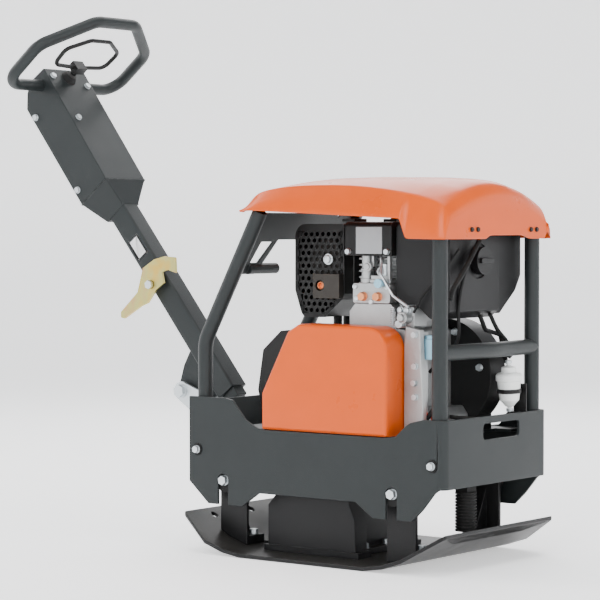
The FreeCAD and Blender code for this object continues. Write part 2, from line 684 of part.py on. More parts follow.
def make_tank_and_filter():
    outline = [(146, 531), (153, 503), (193, 503), (225, 476), (251, 476), (270, 490),
               (270, 656), (146, 656)]
    tank = round_edges(prism_y(outline, -108, 66), Y_AXIS, 7)
    inner = [(151, 531), (158, 508), (195, 508), (227, 481), (249, 481), (263, 492), (263, 651), (151, 651)]
    tank = tank.cut(prism_y(inner, -103, 61))
    neck = cyl_x(246, 266, -6, 587, 38).cut(cyl_x(240, 262, -6, 587, 34))
    tank = tank.cut(cyl_x(262, 290, -6, 587, 34))
    tank = fuse([tank, neck])
    spout = cyl_x(256, 276, -6, 587, 18)
    tank = fuse([tank.cut(cyl_x(240, 280, -6, 587, 17.9)), spout]).cut(cyl_x(240, 290, -6, 587, 14))
    keep("fuel_tank", tank)
    cap = cyl_x(268, 284, -6, 587, 27)
    cap = cap.cut(cyl_x(267, 277.5, -6, 587, 18.4))
    grip_bar = round_edges(box(283, 291, -27, 15, 582, 592), X_AXIS, 3)
    keep("fuel_cap", fuse([cap, grip_bar]))

    section = [(72, 483), (82, 483), (139, 527), (158, 557), (158, 640), (72, 640)]
    body = round_edges(prism_x(section, 150, 262), X_AXIS, 8, lambda c: c.z > 540)
    hollow = [(77, 490), (82, 490), (136, 531), (153, 560), (153, 635), (77, 635)]
    keep("air_cleaner", body.cut(prism_x(hollow, 155, 257)))

    low = V(FILTER_X, 84, 293)
    high = V(FILTER_X, 79, 389)
    along = high - low
    unit = along * (1 / along.Length)
    shell = Part.makeCylinder(22, along.Length - 24, low + unit * 12, along)
    ends = []
    for start, sign in ((low + unit * 12, -1), (high - unit * 12, 1)):
        cone = Part.makeCone(22, 9, 7, start, unit * sign)
        tip = Part.makeCylinder(4, 8, start + unit * (7 * sign), unit * sign)
        ends += [cone, tip]
    filter_body = fuse([shell] + ends)
    clamps = [Part.makeCylinder(25, 7, low + unit * reach, along) for reach in (30, 62)]
    arm = box(FILTER_X - 4, SKIRT_X - SKIRT_THICK - 8, 98, 102, 292, 362)
    arm = fuse([arm, box(FILTER_X - 4, SKIRT_X - SKIRT_THICK, 90, 110, 286, 292)])
    bracket = fuse(clamps + [arm]).cut(filter_body)
    keep("fuel_filter", [filter_body, clear(bracket, "fan_housing")])
    route = [(262, 10, 480), (262, 30, 452), (257, 92, 440), (257, 102, 408), (FILTER_X - 8, 84, 388)]
    keep("fuel_hose", clear(bent_rod(route, 9, 4.5), "fuel_tank", "fuel_filter"))


def make_exhaust():
    outline = [(-115, 526), (-96, 472), (-41, 473), (0, 508), (6, 520), (6, 658), (-115, 658)]
    shell = prism_y(outline, -85, 62)
    inner = [(-112, 527), (-94, 475), (-42, 476), (-2, 509), (3, 521), (3, 655), (-112, 655)]
    guard = shell.cut(prism_y(inner, -82, 59))
    guard = guard.cut(cyl_x(2, 10, -20, 580, 18))
    guard = guard.cut(box(-56, 0, -90, -80, 514, 556))
    body = cyl_y(-66, 46, -54, 588, 46)
    body = body.makeFillet(12, [e for e in body.Edges if e.Closed])
    pipe = rod((-16, -20, 580), (31, -20, 580), 12)
    keep("muffler", fuse([body, pipe]))
    lip = box(-60, 4, -100, -85, 511, 559)
    stays = [rod((-50, -30, DECK_TOP), (-50, -30, 474), 9), rod((-70, 30, DECK_TOP), (-70, 30, 474), 9)]
    keep("muffler_guard", [guard] + [stay.cut(guard) for stay in stays])
    outlet = fuse([lip, box(-56, 0, -88, -79, 514, 556)]).cut(cyl_y(-102, -86, -44, 536, 10.5))
    keep("exhaust_outlet", outlet.cut(SHAPES["muffler_guard"]).cut(SHAPES["muffler"]))


# ---------------------------------------------------------------- belt drive covers
GUARD_Y = -182.0


def make_belt_guard():
    outline = [(-127, 253), (-127, 324), (-62, 448), (-35, 463), (175, 461), (175, 253)]
    inner = [(-124.5, 250), (-124.5, 323), (-60, 446), (-34, 460), (172.5, 458), (172.5, 250)]
    shell = prism_y(outline, GUARD_Y, -120)
    shell = round_edges(shell, Y_AXIS, 46, lambda c: c.x > 100 and c.z > 400)
    shell = round_edges(shell, Y_AXIS, 14, lambda c: c.x < 100 and c.z > 300)
    hollow = prism_y(inner, GUARD_Y + 3, -118)
    hollow = round_edges(hollow, Y_AXIS, 43.5, lambda c: c.x > 100 and c.z > 400)
    hollow = round_edges(hollow, Y_AXIS, 11, lambda c: c.x < 100 and c.z > 300)
    keep("belt_guard", shell.cut(hollow))
    back = [(-164, DECK_TOP), (-184, 325), (-171, 406), (-126, 445), (-60, 452), (20, 452), (20, 300),
            (-60, DECK_TOP)]
    keep("belt_backplate", prism_y(back, -119.5, -115.5))


def make_v_belt():
    """Flat-sided ring round both pulleys, as two outlines made of tangents and arcs."""
    def loop(reach):
        r0 = EXCITER_PULLEY_R + reach
        r1 = CLUTCH_R + reach
        a = V(DRIVE_X, 0, EXCITER_Z)
        b = V(CRANK_X, 0, CRANK_Z)
        base = math.atan2(b.z - a.z, b.x - a.x)
        lean = math.acos((r0 - r1) / (b - a).Length)

        def at(centre, r, angle):
            return centre + V(r * math.cos(angle), 0, r * math.sin(angle))

        p0, p1 = at(a, r0, base + lean), at(b, r1, base + lean)
        q1, q0 = at(b, r1, base - lean), at(a, r0, base - lean)
        edges = [
            Part.LineSegment(p0, p1).toShape(),
            Part.Arc(p1, at(b, r1, base), q1).toShape(),
            Part.LineSegment(q1, q0).toShape(),
            Part.Arc(q0, at(a, r0, base + math.pi), p0).toShape(),
        ]
        return Part.Face(Part.Wire(edges))

    half = BELT_WIDTH / 2 - 2.2
    belts = []
    for reach in (5, -4):
        face = loop(reach)
        face.translate(V(0, BELT_Y - half, 0))
        belts.append(face.extrude(V(0, 2 * half, 0)))
    keep("v_belt", belts[0].cut(belts[1]))


def make_corrugated_hose():
    rings = []
    for k in range(13):
        z = 64 + 6 * k
        rings.append(cyl_z(z, z + 3.4, 250, -20, 21))
    core = cyl_z(64, 140, 250, -20, 17.5)
    elbow = box(236, 264, -36, -4, 140, 168)
    tube = fuse([core] + rings).cut(cyl_z(63, 139, 250, -20, 14))
    arm = box(264, SKIRT_X - SKIRT_THICK, -36, -4, 158, 168)
    keep("drain_hose", [tube, fuse([elbow, arm])])


# ---------------------------------------------------------------- folding handle
def make_pole():
    shell = slant_prism([(-69, POLE_REAR), (-69, POLE_FRONT), (466, POLE_FRONT), (466, POLE_REAR)],
                        -POLE_HALF, POLE_HALF)
    shell = round_edges(shell, V(*slant_point(1, 0, 0)) - V(*slant_point(0, 0, 0)), 5)
    hollow = slant_prism([(-80, POLE_REAR + 4), (-80, POLE_FRONT - 4), (470, POLE_FRONT - 4),
                          (470, POLE_REAR + 4)], -POLE_HALF + 4, POLE_HALF - 4)
    lug = slant_prism([(-30, 2), (-20, -14), (14, -17), (46, 30), (60, POLE_REAR), (-62, POLE_REAR)],
                      -18, 18)
    lug = lug.cut(cyl_y(-30, 30, PIVOT_X, PIVOT_Z, 8 + FIT))
    foot = slant_prism([(-66, POLE_REAR + 6), (-66, POLE_FRONT - 6), (-88, POLE_FRONT - 6),
                        (-92, POLE_REAR + 18)], -16, 16)
    plug = slant_prism([(-69, POLE_REAR + 4), (-69, POLE_FRONT - 4), (-60, POLE_FRONT - 4),
                        (-60, POLE_REAR + 4)], -POLE_HALF + 4, POLE_HALF - 4)
    keep("handle_pole", fuse([shell.cut(hollow), lug, plug, foot]))


def make_head():
    outline = [(466, 46), (466, 136), (770, 146), (773, 104), (760, 74), (732, 50)]
    block = slant_prism(outline, -HEAD_HALF, HEAD_HALF)
    tip = slant_prism([(412, 53), (412, 112), (466.5, 136), (466.5, 46)], -HEAD_HALF, HEAD_HALF)
    u = V(*slant_point(1, 0, 0)) - V(*slant_point(0, 0, 0))
    start = V(*slant_point(412, 0, 0))
    for sign in (-1, 1):
        y0 = sign * POLE_HALF
        y1 = sign * HEAD_HALF
        far = sign * (HEAD_HALF + 30)
        tri = [start + V(0, y0, 0), start + u * 54.5 + V(0, y1, 0), start + u * 60 + V(0, far, 0),
               start - u * 10 + V(0, far, 0), start - u * 10 + V(0, y0, 0)]
        n_dir = V(*slant_point(0, 0, 1)) - V(*slant_point(0, 0, 0))
        wedge = Part.Face(Part.makePolygon(tri + tri[:1])).extrude(n_dir * 200)
        tip = tip.cut(wedge)
    solid = fuse([block, tip])
    inner = slant_prism([(470, 50), (470, 132), (766, 142), (769, 105), (757, 77), (730, 54)],
                        -HEAD_HALF + 4, HEAD_HALF - 4)
    solid = solid.cut(inner)
    socket = slant_prism([(400, POLE_REAR), (400, POLE_FRONT), (470, POLE_FRONT), (470, POLE_REAR)],
                         -POLE_HALF, POLE_HALF)
    keep("handle_head", clear(solid.cut(socket), "handle_pole"))
    screws = []
    for d, n in ((700, 57), (498, 54)):
        for sign in (-1, 1):
            screws.append(bolt(slant_point(d, sign * HEAD_HALF, n + 4), (0, sign, 0), 3, 0, 12, 4))
    front = V(*slant_point(0, 0, 1)) - V(*slant_point(0, 0, 0))
    for d, y in ((748, -48), (724, 46), (633, -42)):
        n = 136 + 10 * (d - 466) / 304
        screws.append(bolt(slant_point(d, y, n + 0.2), tuple(front), 3, 0, 12, 4))
    return [clear(s, "handle_head") for s in screws]


def make_ring_bar():
    points = [(-HEAD_HALF, 116), (-173, 116), (-173, 240), (-62, 326), (62, 326), (173, 240), (173, 116),
              (HEAD_HALF, 116)]
    path = [slant_point(RING_D, y, n) for y, n in points]
    keep("ring_bar", bent_tube(path, 42, RING_DIA / 2, 3))


def make_control():
    face_n = 145.2
    u = V(*slant_point(0, 0, 1)) - V(*slant_point(0, 0, 0))
    boot = Part.makeCone(19, 12, 13, V(*slant_point(RING_D, 0, face_n - 1)), u)
    keep("control_boot", clear(boot, "handle_head"))
    stem_start = V(*slant_point(RING_D, 0, face_n + 16))
    stem = Part.makeCylinder(8, 13, stem_start, u)
    clamp_outline = [(RING_D - 12, 172), (RING_D - 12, 190), (RING_D + 12, 190), (RING_D + 12, 172)]
    clamp = slant_prism(clamp_outline, -16, 16)
    points = [(0, 181), (-80, 186), (-84, 236), (-30, 268), (30, 268), (84, 236), (80, 186), (0, 181)]
    path = [slant_point(RING_D, y, n) for y, n in points[:]]
    gap = 1.0
    path[0] = slant_point(RING_D, -gap, 181)
    path[-1] = slant_point(RING_D, gap, 181)
    loop = bent_rod(path, 20, LOOP_DIA / 2)
    keep("control_loop", fuse([stem, clamp, loop]))


def make_latch():
    outline = [(232, 40), (246, 60), (263, 84), (258, 120), (246, 147), (225, 170), (198, 151), (217, 137),
               (223, 121), (202, 111), (204, 85), (196, 49), (202, 30), (210, -24), (218, -31), (228, -24)]
    plate = slant_prism(outline, -44, -38)
    pivot = slant(LATCH_D, LATCH_N + 20)
    plate = plate.cut(cyl_y(-60, -20, pivot[0], pivot[1], 6 + FIT))
    keep("latch_hook", plate)
    stud = fuse([cyl_y(-46, -POLE_HALF, pivot[0], pivot[1], 6),
                 cyl_y(-37.6, -POLE_HALF, pivot[0], pivot[1], 11)])
    head = hex_head((pivot[0], -46, pivot[1]), (0, -1, 0), 17, 7)
    return [fuse([stud, head])]


def build():
    make_base_plate()
    make_exciter()
    make_lower_belt_cover()
    make_mount_brackets()
    make_skirt()
    loose = make_hood()
    make_posts()
    make_gusset()
    make_lifting_bar()
    loose += make_handle_bracket()
    loose += make_mounts()
    make_engine()
    loose += make_engine_side()
    make_tank_and_filter()
    make_exhaust()
    make_belt_guard()
    make_v_belt()
    make_corrugated_hose()
    make_pole()
    screws = make_head()
    make_ring_bar()
    make_control()
    screws += make_latch()
    keep("handle_fasteners", screws)
    keep("frame_bolts", loose)


build()
os.makedirs("parts", exist_ok=True)
for node, shape in SHAPES.items():
    shape.exportStep("parts/" + node + ".step")
    print(node, len(shape.Solids), round(shape.Volume / 1000.0, 1), shape.isValid())
print(len(SHAPES), "nodes")
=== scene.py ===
import json
import math

import bmesh
import bpy
from bpy.props import FloatProperty, FloatVectorProperty, PointerProperty
from bpy.types import Operator, Panel, PropertyGroup
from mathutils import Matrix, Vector


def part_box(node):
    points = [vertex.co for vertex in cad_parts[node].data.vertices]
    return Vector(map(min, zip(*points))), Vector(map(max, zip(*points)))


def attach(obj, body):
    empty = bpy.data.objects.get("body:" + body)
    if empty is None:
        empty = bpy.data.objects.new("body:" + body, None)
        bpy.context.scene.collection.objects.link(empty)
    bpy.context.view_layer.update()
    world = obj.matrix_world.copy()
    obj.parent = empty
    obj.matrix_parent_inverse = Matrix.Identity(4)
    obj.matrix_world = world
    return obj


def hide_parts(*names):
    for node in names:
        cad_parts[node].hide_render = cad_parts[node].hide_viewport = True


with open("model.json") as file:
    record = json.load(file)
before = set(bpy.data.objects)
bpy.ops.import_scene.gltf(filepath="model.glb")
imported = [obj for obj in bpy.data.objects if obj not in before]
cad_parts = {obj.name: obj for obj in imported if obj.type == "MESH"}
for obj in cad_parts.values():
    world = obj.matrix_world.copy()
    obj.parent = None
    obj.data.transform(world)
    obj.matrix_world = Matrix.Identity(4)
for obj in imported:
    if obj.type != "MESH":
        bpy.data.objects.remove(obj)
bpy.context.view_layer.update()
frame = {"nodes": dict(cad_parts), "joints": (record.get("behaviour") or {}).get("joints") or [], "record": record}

bl_info = {
    "name": "Vibratory Plate Compactor",
    "version": (1, 0, 0),
    "blender": (4, 5, 0),
    "location": "View3D > Sidebar > Compactor",
    "description": "Dresses a reversible plate compactor's frame with finished covers, wiring and paint",
    "category": "Object",
}

MM = 0.001
SLOT_OF = {part["node"]: part["material_slot"] for part in frame["record"]["subparts"]}
BODY_OF = {node: body for body, nodes in frame["record"]["behaviour"]["bodies"].items() for node in nodes}


# ------------------------------------------------------------------ settings
def colour(name, default):
    return FloatVectorProperty(name=name, description=name + " of the machine", subtype="COLOR",
                               size=3, min=0.0, max=1.0, default=default)


class CompactorColours(PropertyGroup):
    """Paint and metal colours of the machine."""
    orange: colour("Hood and guard paint", (0.62, 0.078, 0.0005))
    anthracite: colour("Frame paint", (0.0155, 0.019, 0.0195))
    black_cast: colour("Base plate paint", (0.0055, 0.0055, 0.006))
    black_plastic: colour("Engine plastic", (0.0045, 0.0045, 0.005))
    black_sheet: colour("Black sheet metal", (0.0055, 0.0055, 0.0055))
    die_cast: colour("Die-cast aluminium", (0.42, 0.43, 0.43))
    exhaust: colour("Exhaust steel", (0.05, 0.046, 0.042))
    steel: colour("Machined steel", (0.42, 0.42, 0.43))
    yellow_zinc: colour("Yellow zinc", (0.42, 0.29, 0.05))
    pale_zinc: colour("Pale zinc", (0.58, 0.62, 0.64))
    copper: colour("Copper plugs", (0.72, 0.28, 0.13))
    rubber: colour("Rubber", (0.006, 0.006, 0.006))
    filter_white: colour("Fuel filter", (0.80, 0.82, 0.80))
    label: colour("Blank label", (0.78, 0.79, 0.80))
    floor: colour("Floor", (0.97, 0.97, 0.97))


class CompactorSizes(PropertyGroup):
    """Sizes that a user may tune."""
    sheet_edge: FloatProperty(name="Sheet edge", description="Rounding of sheet metal edges",
                              default=1.2 * MM, unit="LENGTH")
    cast_edge: FloatProperty(name="Cast edge", description="Rounding of cast edges",
                             default=2.5 * MM, unit="LENGTH")
    cover_edge: FloatProperty(name="Cover edge", description="Rounding of pressed covers",
                              default=7 * MM, unit="LENGTH")
    hole_pitch: FloatProperty(name="Hole pitch", description="Spacing of the guard's holes",
                              default=14 * MM, unit="LENGTH")
    hole_radius: FloatProperty(name="Hole radius", description="Radius of the guard's holes",
                               default=4.6 * MM, unit="LENGTH")


def colours():
    return bpy.context.scene.compactor_colours


def sizes():
    return bpy.context.scene.compactor_sizes


# ------------------------------------------------------------------ shared surface effects
def new_group(name, inputs, outputs):
    group = bpy.data.node_groups.new(name, "ShaderNodeTree")
    for label, default in inputs:
        socket = group.interface.new_socket(label, in_out="INPUT", socket_type="NodeSocketFloat")
        socket.default_value = default
    for label in outputs:
        group.interface.new_socket(label, in_out="OUTPUT", socket_type="NodeSocketFloat")
    start = group.nodes.new("NodeGroupInput")
    end = group.nodes.new("NodeGroupOutput")
    return group, start, end


def math_node(tree, operation, first, second, clamp=False):
    node = tree.nodes.new("ShaderNodeMath")
    node.operation = operation
    node.use_clamp = clamp
    for index, value in enumerate((first, second)):
        if isinstance(value, (int, float)):
            node.inputs[index].default_value = value
        else:
            tree.links.new(value, node.inputs[index])
    return node.outputs[0]


def noise(tree, scale, detail, roughness=0.55):
    place = tree.nodes.new("ShaderNodeTexCoord")
    node = tree.nodes.new("ShaderNodeTexNoise")
    node.inputs["Detail"].default_value = detail
    node.inputs["Roughness"].default_value = roughness
    tree.links.new(place.outputs["Object"], node.inputs["Vector"])
    if isinstance(scale, (int, float)):
        node.inputs["Scale"].default_value = scale
    else:
        tree.links.new(scale, node.inputs["Scale"])
    return node.outputs["Fac"]


def make_edge_wear():
    """Mask of rubbed edges: where the rounded normal leaves the true one, broken up by noise."""
    group, start, end = new_group("Edge wear", [("Width", 1.5 * MM), ("Amount", 0.5)], ["Mask"])
    bevel = group.nodes.new("ShaderNodeBevel")
    bevel.samples = 4
    group.links.new(start.outputs["Width"], bevel.inputs["Radius"])
    geometry = group.nodes.new("ShaderNodeNewGeometry")
    dot = group.nodes.new("ShaderNodeVectorMath")
    dot.operation = "DOT_PRODUCT"
    group.links.new(bevel.outputs["Normal"], dot.inputs[0])
    group.links.new(geometry.outputs["Normal"], dot.inputs[1])
    turn = math_node(group, "SUBTRACT", 1.0, dot.outputs["Value"])
    turn = math_node(group, "MULTIPLY", turn, 9.0, clamp=True)
    chips = math_node(group, "SUBTRACT", noise(group, 95.0, 5.0, 0.7), 0.47)
    chips = math_node(group, "MULTIPLY", chips, 9.0, clamp=True)
    mask = math_node(group, "MULTIPLY", turn, chips)
    mask = math_node(group, "MULTIPLY", mask, start.outputs["Amount"], clamp=True)
    group.links.new(mask, end.inputs["Mask"])
    return group


def make_grain():
    """Fine height of the finish and a slow change across the surface."""
    group, start, end = new_group("Surface grain", [("Fine Scale", 900.0), ("Slow Scale", 9.0)],
                                  ["Height", "Change"])
    fine = noise(group, start.outputs["Fine Scale"], 3.0)
    slow = noise(group, start.outputs["Slow Scale"], 5.0, 0.6)
    group.links.new(fine, end.inputs["Height"])
    group.links.new(slow, end.inputs["Change"])
    return group


def make_dust():
    """Mask of dust that settles on faces that look up."""
    group, start, end = new_group("Settled dust", [("Amount", 0.2)], ["Mask"])
    geometry = group.nodes.new("ShaderNodeNewGeometry")
    split = group.nodes.new("ShaderNodeSeparateXYZ")
    group.links.new(geometry.outputs["Normal"], split.inputs[0])
    up = math_node(group, "SUBTRACT", split.outputs["Z"], 0.35)
    up = math_node(group, "MULTIPLY", up, 1.6, clamp=True)
    patchy = math_node(group, "MULTIPLY", up, noise(group, 26.0, 6.0, 0.65))
    mask = math_node(group, "MULTIPLY", patchy, start.outputs["Amount"], clamp=True)
    group.links.new(mask, end.inputs["Mask"])
    return group


EFFECTS = {}


def effect(name):
    if name not in EFFECTS:
        makers = {"wear": make_edge_wear, "grain": make_grain, "dust": make_dust}
        EFFECTS[name] = makers[name]()
    return EFFECTS[name]


def place_effect(tree, name, **values):
    node = tree.nodes.new("ShaderNodeGroup")
    node.node_tree = effect(name)
    for label, value in values.items():
        node.inputs[label.replace("_", " ")].default_value = value
    return node


def mix_colour(tree, factor, first, second):
    node = tree.nodes.new("ShaderNodeMix")
    node.data_type = "RGBA"
    for socket, value in ((node.inputs[6], first), (node.inputs[7], second)):
        if isinstance(value, tuple):
            socket.default_value = value
        else:
            tree.links.new(value, socket)
    tree.links.new(factor, node.inputs[0])
    return node.outputs[2]


def spread(tree, value, low, high):
    node = tree.nodes.new("ShaderNodeMapRange")
    node.inputs["From Min"].default_value = 0.3
    node.inputs["From Max"].default_value = 0.7
    node.inputs["To Min"].default_value = low
    node.inputs["To Max"].default_value = high
    tree.links.new(value, node.inputs["Value"])
    return node.outputs["Result"]


MATERIALS = {}


def surface(name, base, rough, metal=0.0, worn=(0.35, 0.35, 0.34), wear=0.4, fine=900.0, depth=0.05,
            change=0.12, dust=0.06, coat=0.0, wear_width=1.4 * MM, worn_metal=True, shine=0.25, glow=0.0):
    """One finished material: varied colour, worn edges, dust, roughness change and a fine bump."""
    material = bpy.data.materials.new(name)
    material.use_nodes = True
    tree = material.node_tree
    shader = tree.nodes["Principled BSDF"]
    grain = place_effect(tree, "grain", Fine_Scale=fine, Slow_Scale=11.0)
    edge = place_effect(tree, "wear", Width=wear_width, Amount=wear)
    settled = place_effect(tree, "dust", Amount=dust)
    dark = tuple(c * (1 - change) for c in base) + (1.0,)
    light = tuple(min(1.0, c * (1 + change)) for c in base) + (1.0,)
    shade = mix_colour(tree, spread(tree, grain.outputs["Change"], 0.0, 1.0), dark, light)
    shade = mix_colour(tree, edge.outputs["Mask"], shade, tuple(worn) + (1.0,))
    shade = mix_colour(tree, settled.outputs["Mask"], shade, (0.34, 0.31, 0.27, 1.0))
    tree.links.new(shade, shader.inputs["Base Color"])
    gloss = spread(tree, grain.outputs["Change"], rough * 0.86, min(1.0, rough * 1.16))
    dull = math_node(tree, "MULTIPLY", settled.outputs["Mask"], 0.5)
    gloss = math_node(tree, "ADD", gloss, dull, clamp=True)
    tree.links.new(gloss, shader.inputs["Roughness"])
    shader.inputs["Metallic"].default_value = metal
    if metal == 0.0 and worn_metal:
        tree.links.new(math_node(tree, "MULTIPLY", edge.outputs["Mask"], 0.8), shader.inputs["Metallic"])
    shader.inputs["Specular IOR Level"].default_value = shine
    shader.inputs["Emission Color"].default_value = base + (1.0,)
    shader.inputs["Emission Strength"].default_value = glow
    shader.inputs["Coat Weight"].default_value = coat
    shader.inputs["Coat Roughness"].default_value = 0.12
    bump = tree.nodes.new("ShaderNodeBump")
    bump.inputs["Strength"].default_value = depth
    bump.inputs["Distance"].default_value = 1.0 * MM
    tree.links.new(grain.outputs["Height"], bump.inputs["Height"])
    tree.links.new(bump.outputs["Normal"], shader.inputs["Normal"])
    MATERIALS[name] = material
    return material


class COMPACTOR_OT_finishes(Operator):
    """Make every paint, metal, plastic and rubber of the machine"""
    bl_idname = "compactor.finishes"
    bl_label = "Finishes"

    def execute(self, context):
        c = colours()
        surface("orange_paint", tuple(c.orange), 0.30, worn=(0.45, 0.42, 0.4), wear=0.0, fine=420.0,
                depth=0.10, change=0.04, dust=0.0, coat=0.10, shine=0.2)
        surface("anthracite_paint", tuple(c.anthracite), 0.42, worn=(0.22, 0.23, 0.23), wear=0.35,
                fine=650.0, depth=0.30, change=0.10, dust=0.05)
        surface("black_cast", tuple(c.black_cast), 0.38, worn=(0.12, 0.12, 0.12), wear=0.55, fine=380.0,
                depth=0.45, change=0.3, dust=0.10)
        surface("black_plastic", tuple(c.black_plastic), 0.36, worn=(0.05, 0.05, 0.05), wear=0.4,
                fine=1100.0, depth=0.35, change=0.2, dust=0.05, worn_metal=False)
        surface("black_sheet", tuple(c.black_sheet), 0.40, worn=(0.14, 0.14, 0.14), wear=0.35, fine=800.0,
                depth=0.22, change=0.2, dust=0.05)
        surface("die_cast", tuple(c.die_cast), 0.42, metal=0.9, worn=(0.75, 0.76, 0.77), wear=0.5,
                fine=520.0, depth=0.65, change=0.14, dust=0.08)
        surface("exhaust_steel", tuple(c.exhaust), 0.5, metal=0.8, worn=(0.24, 0.17, 0.11), wear=0.6,
                fine=600.0, depth=0.4, change=0.35)
        surface("machined_steel", tuple(c.steel), 0.3, metal=1.0, worn=(0.6, 0.6, 0.6), wear=0.4,
                fine=1500.0, depth=0.15, change=0.1)
        surface("pulley_iron", (0.13, 0.13, 0.13), 0.42, metal=0.9, worn=(0.5, 0.5, 0.5), wear=0.6,
                fine=600.0, depth=0.4, change=0.2)
        zinc = surface("yellow_zinc", tuple(c.yellow_zinc), 0.30, metal=0.95, worn=(0.66, 0.64, 0.56),
                       wear=0.5, fine=900.0, depth=0.12, change=0.1)
        self.add_rainbow(zinc)
        surface("pale_zinc", tuple(c.pale_zinc), 0.32, metal=0.9, worn=(0.75, 0.77, 0.78), wear=0.4,
                fine=1000.0, depth=0.15, change=0.1)
        surface("copper", tuple(c.copper), 0.3, metal=0.95, worn=(0.85, 0.5, 0.33), wear=0.5,
                fine=1200.0, depth=0.15, change=0.15)
        surface("rubber", tuple(c.rubber), 0.62, worn=(0.05, 0.05, 0.05), wear=0.3, fine=1300.0,
                depth=0.5, change=0.25, dust=0.15, worn_metal=False)
        surface("filter_white", tuple(c.filter_white), 0.28, worn=(0.9, 0.9, 0.88), wear=0.2,
                fine=900.0, depth=0.08, change=0.05, worn_metal=False, coat=0.2)
        surface("plate_grey", (0.30, 0.31, 0.32), 0.42, metal=0.3, worn=(0.5, 0.5, 0.5), wear=0.5,
                fine=1500.0, depth=0.1, change=0.1)
        surface("label", tuple(c.label), 0.35, worn=(0.6, 0.6, 0.6), wear=0.2, fine=1500.0,
                depth=0.05, change=0.03, worn_metal=False)
        surface("floor", tuple(c.floor), 0.7, wear=0.0, fine=200.0, depth=0.03, change=0.01, dust=0.0,
                worn_metal=False, glow=0.7)
        surface("pale_blue", (0.30, 0.55, 0.68), 0.4, wear=0.2, worn_metal=False)
        surface("signal_red", (0.75, 0.09, 0.03), 0.35, wear=0.1, worn_metal=False)
        return {"FINISHED"}

    def add_rainbow(self, material):
        """Passivated zinc drifts from straw to green and rose."""
        tree = material.node_tree
        shader = tree.nodes["Principled BSDF"]
        link = shader.inputs["Base Color"].links[0]
        before = link.from_socket
        ramp = tree.nodes.new("ShaderNodeValToRGB")
        ramp.color_ramp.elements[0].position = 0.34
        ramp.color_ramp.elements[0].color = (0.78, 0.52, 0.14, 1)
        ramp.color_ramp.elements[1].position = 0.66
        ramp.color_ramp.elements[1].color = (0.62, 0.30, 0.28, 1)
        middle = ramp.color_ramp.elements.new(0.5)
        middle.color = (0.50, 0.60, 0.30, 1)
        tree.links.new(noise(tree, 22.0, 2.0), ramp.inputs["Fac"])
        blend = tree.nodes.new("ShaderNodeMix")
        blend.data_type = "RGBA"
        blend.inputs[0].default_value = 0.45
        tree.links.new(before, blend.inputs[6])
        tree.links.new(ramp.outputs["Color"], blend.inputs[7])
        tree.links.new(blend.outputs[2], shader.inputs["Base Color"])


# ------------------------------------------------------------------ mesh helpers
def add_piece(name, bm, body, slot, material=None):
    """Turn a bmesh into an object that rides on a body and takes a material."""
    mesh = bpy.data.meshes.new(name)
    bm.to_mesh(mesh)
    bm.free()
    piece = bpy.data.objects.new(name, mesh)
    bpy.context.scene.collection.objects.link(piece)
    mesh.materials.append(MATERIALS[material or slot])
    for polygon in mesh.polygons:
        polygon.use_smooth = True
    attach(piece, body)
    return piece


def smooth_by_angle(piece, degrees=32):
    """Hard edges stay where faces meet at more than an angle."""
    bm = bmesh.new()
    bm.from_mesh(piece.data)
    limit = math.radians(degrees)
    for edge in bm.edges:
        edge.smooth = len(edge.link_faces) == 2 and edge.calc_face_angle(0.0) < limit
    bm.to_mesh(piece.data)
    bm.free()


def bevel_modifier(piece, width, segments=3, degrees=30):
    bevel = piece.modifiers.new("Rounded edges", "BEVEL")
    bevel.width = width
    bevel.segments = segments
    bevel.limit_method = "ANGLE"
    bevel.angle_limit = math.radians(degrees)
    bevel.use_clamp_overlap = False
    bevel.harden_normals = True
    bevel.miter_outer = "MITER_ARC"
    return bevel


def node_bmesh(node):
    """The CAD node's mesh, welded and with its flat faces joined."""
    bm = bmesh.new()
    bm.from_mesh(frame["nodes"][node].data)
    bmesh.ops.remove_doubles(bm, verts=bm.verts, dist=0.02 * MM)
    bmesh.ops.dissolve_limit(bm, angle_limit=math.radians(0.4), use_dissolve_boundaries=False,
                             verts=bm.verts, edges=bm.edges)
    return bm


def soften(node, width, big=0.0, pick=None, segments=3):
    """A finished piece in place of a plain node, with rolled or machined edges."""
    bm = node_bmesh(node)
    if pick:
        chosen = [e for e in bm.edges if len(e.link_faces) == 2 and e.calc_face_angle(0.0) > 0.6
                  and pick(sum((v.co for v in e.verts), Vector()) / 2)]
        bmesh.ops.bevel(bm, geom=chosen, offset=big, segments=5, profile=0.5, affect="EDGES",
                        clamp_overlap=False)
    piece = add_piece("finished_" + node, bm, BODY_OF[node], SLOT_OF[node])
    smooth_by_angle(piece, 32)
    bevel_modifier(piece, width, segments)
    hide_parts(node)
    return piece


def add_loop(bm, points):
    return [bm.verts.new(p) for p in points]


def bridge(bm, first, second, closed=True):
    count = len(first)
    for k in range(count if closed else count - 1):
        n = (k + 1) % count
        bm.faces.new((first[k], first[n], second[n], second[k]))


def sweep_ring(bm, centre, side, up, radius, sides=16):
    points = []
    for k in range(sides):
        angle = 2 * math.pi * k / sides
        points.append(centre + side * (radius * math.cos(angle)) + up * (radius * math.sin(angle)))
    return add_loop(bm, points)


def tube_mesh(bm, points, radius, sides=14, capped=True):
    """Tube through points, with a parallel frame carried along."""
    points = [Vector(p) for p in points]
    tangent = (points[1] - points[0]).normalized()
    side = tangent.orthogonal().normalized()
    rings = []
    for k, point in enumerate(points):
        ahead = points[min(k + 1, len(points) - 1)]
        behind = points[max(k - 1, 0)]
        turned = (ahead - behind).normalized()
        side = (side - turned * side.dot(turned)).normalized()
        rings.append(sweep_ring(bm, point, side, turned.cross(side), radius, sides))
    for first, second in zip(rings, rings[1:]):
        bridge(bm, first, second)
    if capped:
        bm.faces.new(list(reversed(rings[0])))
        bm.faces.new(rings[-1])


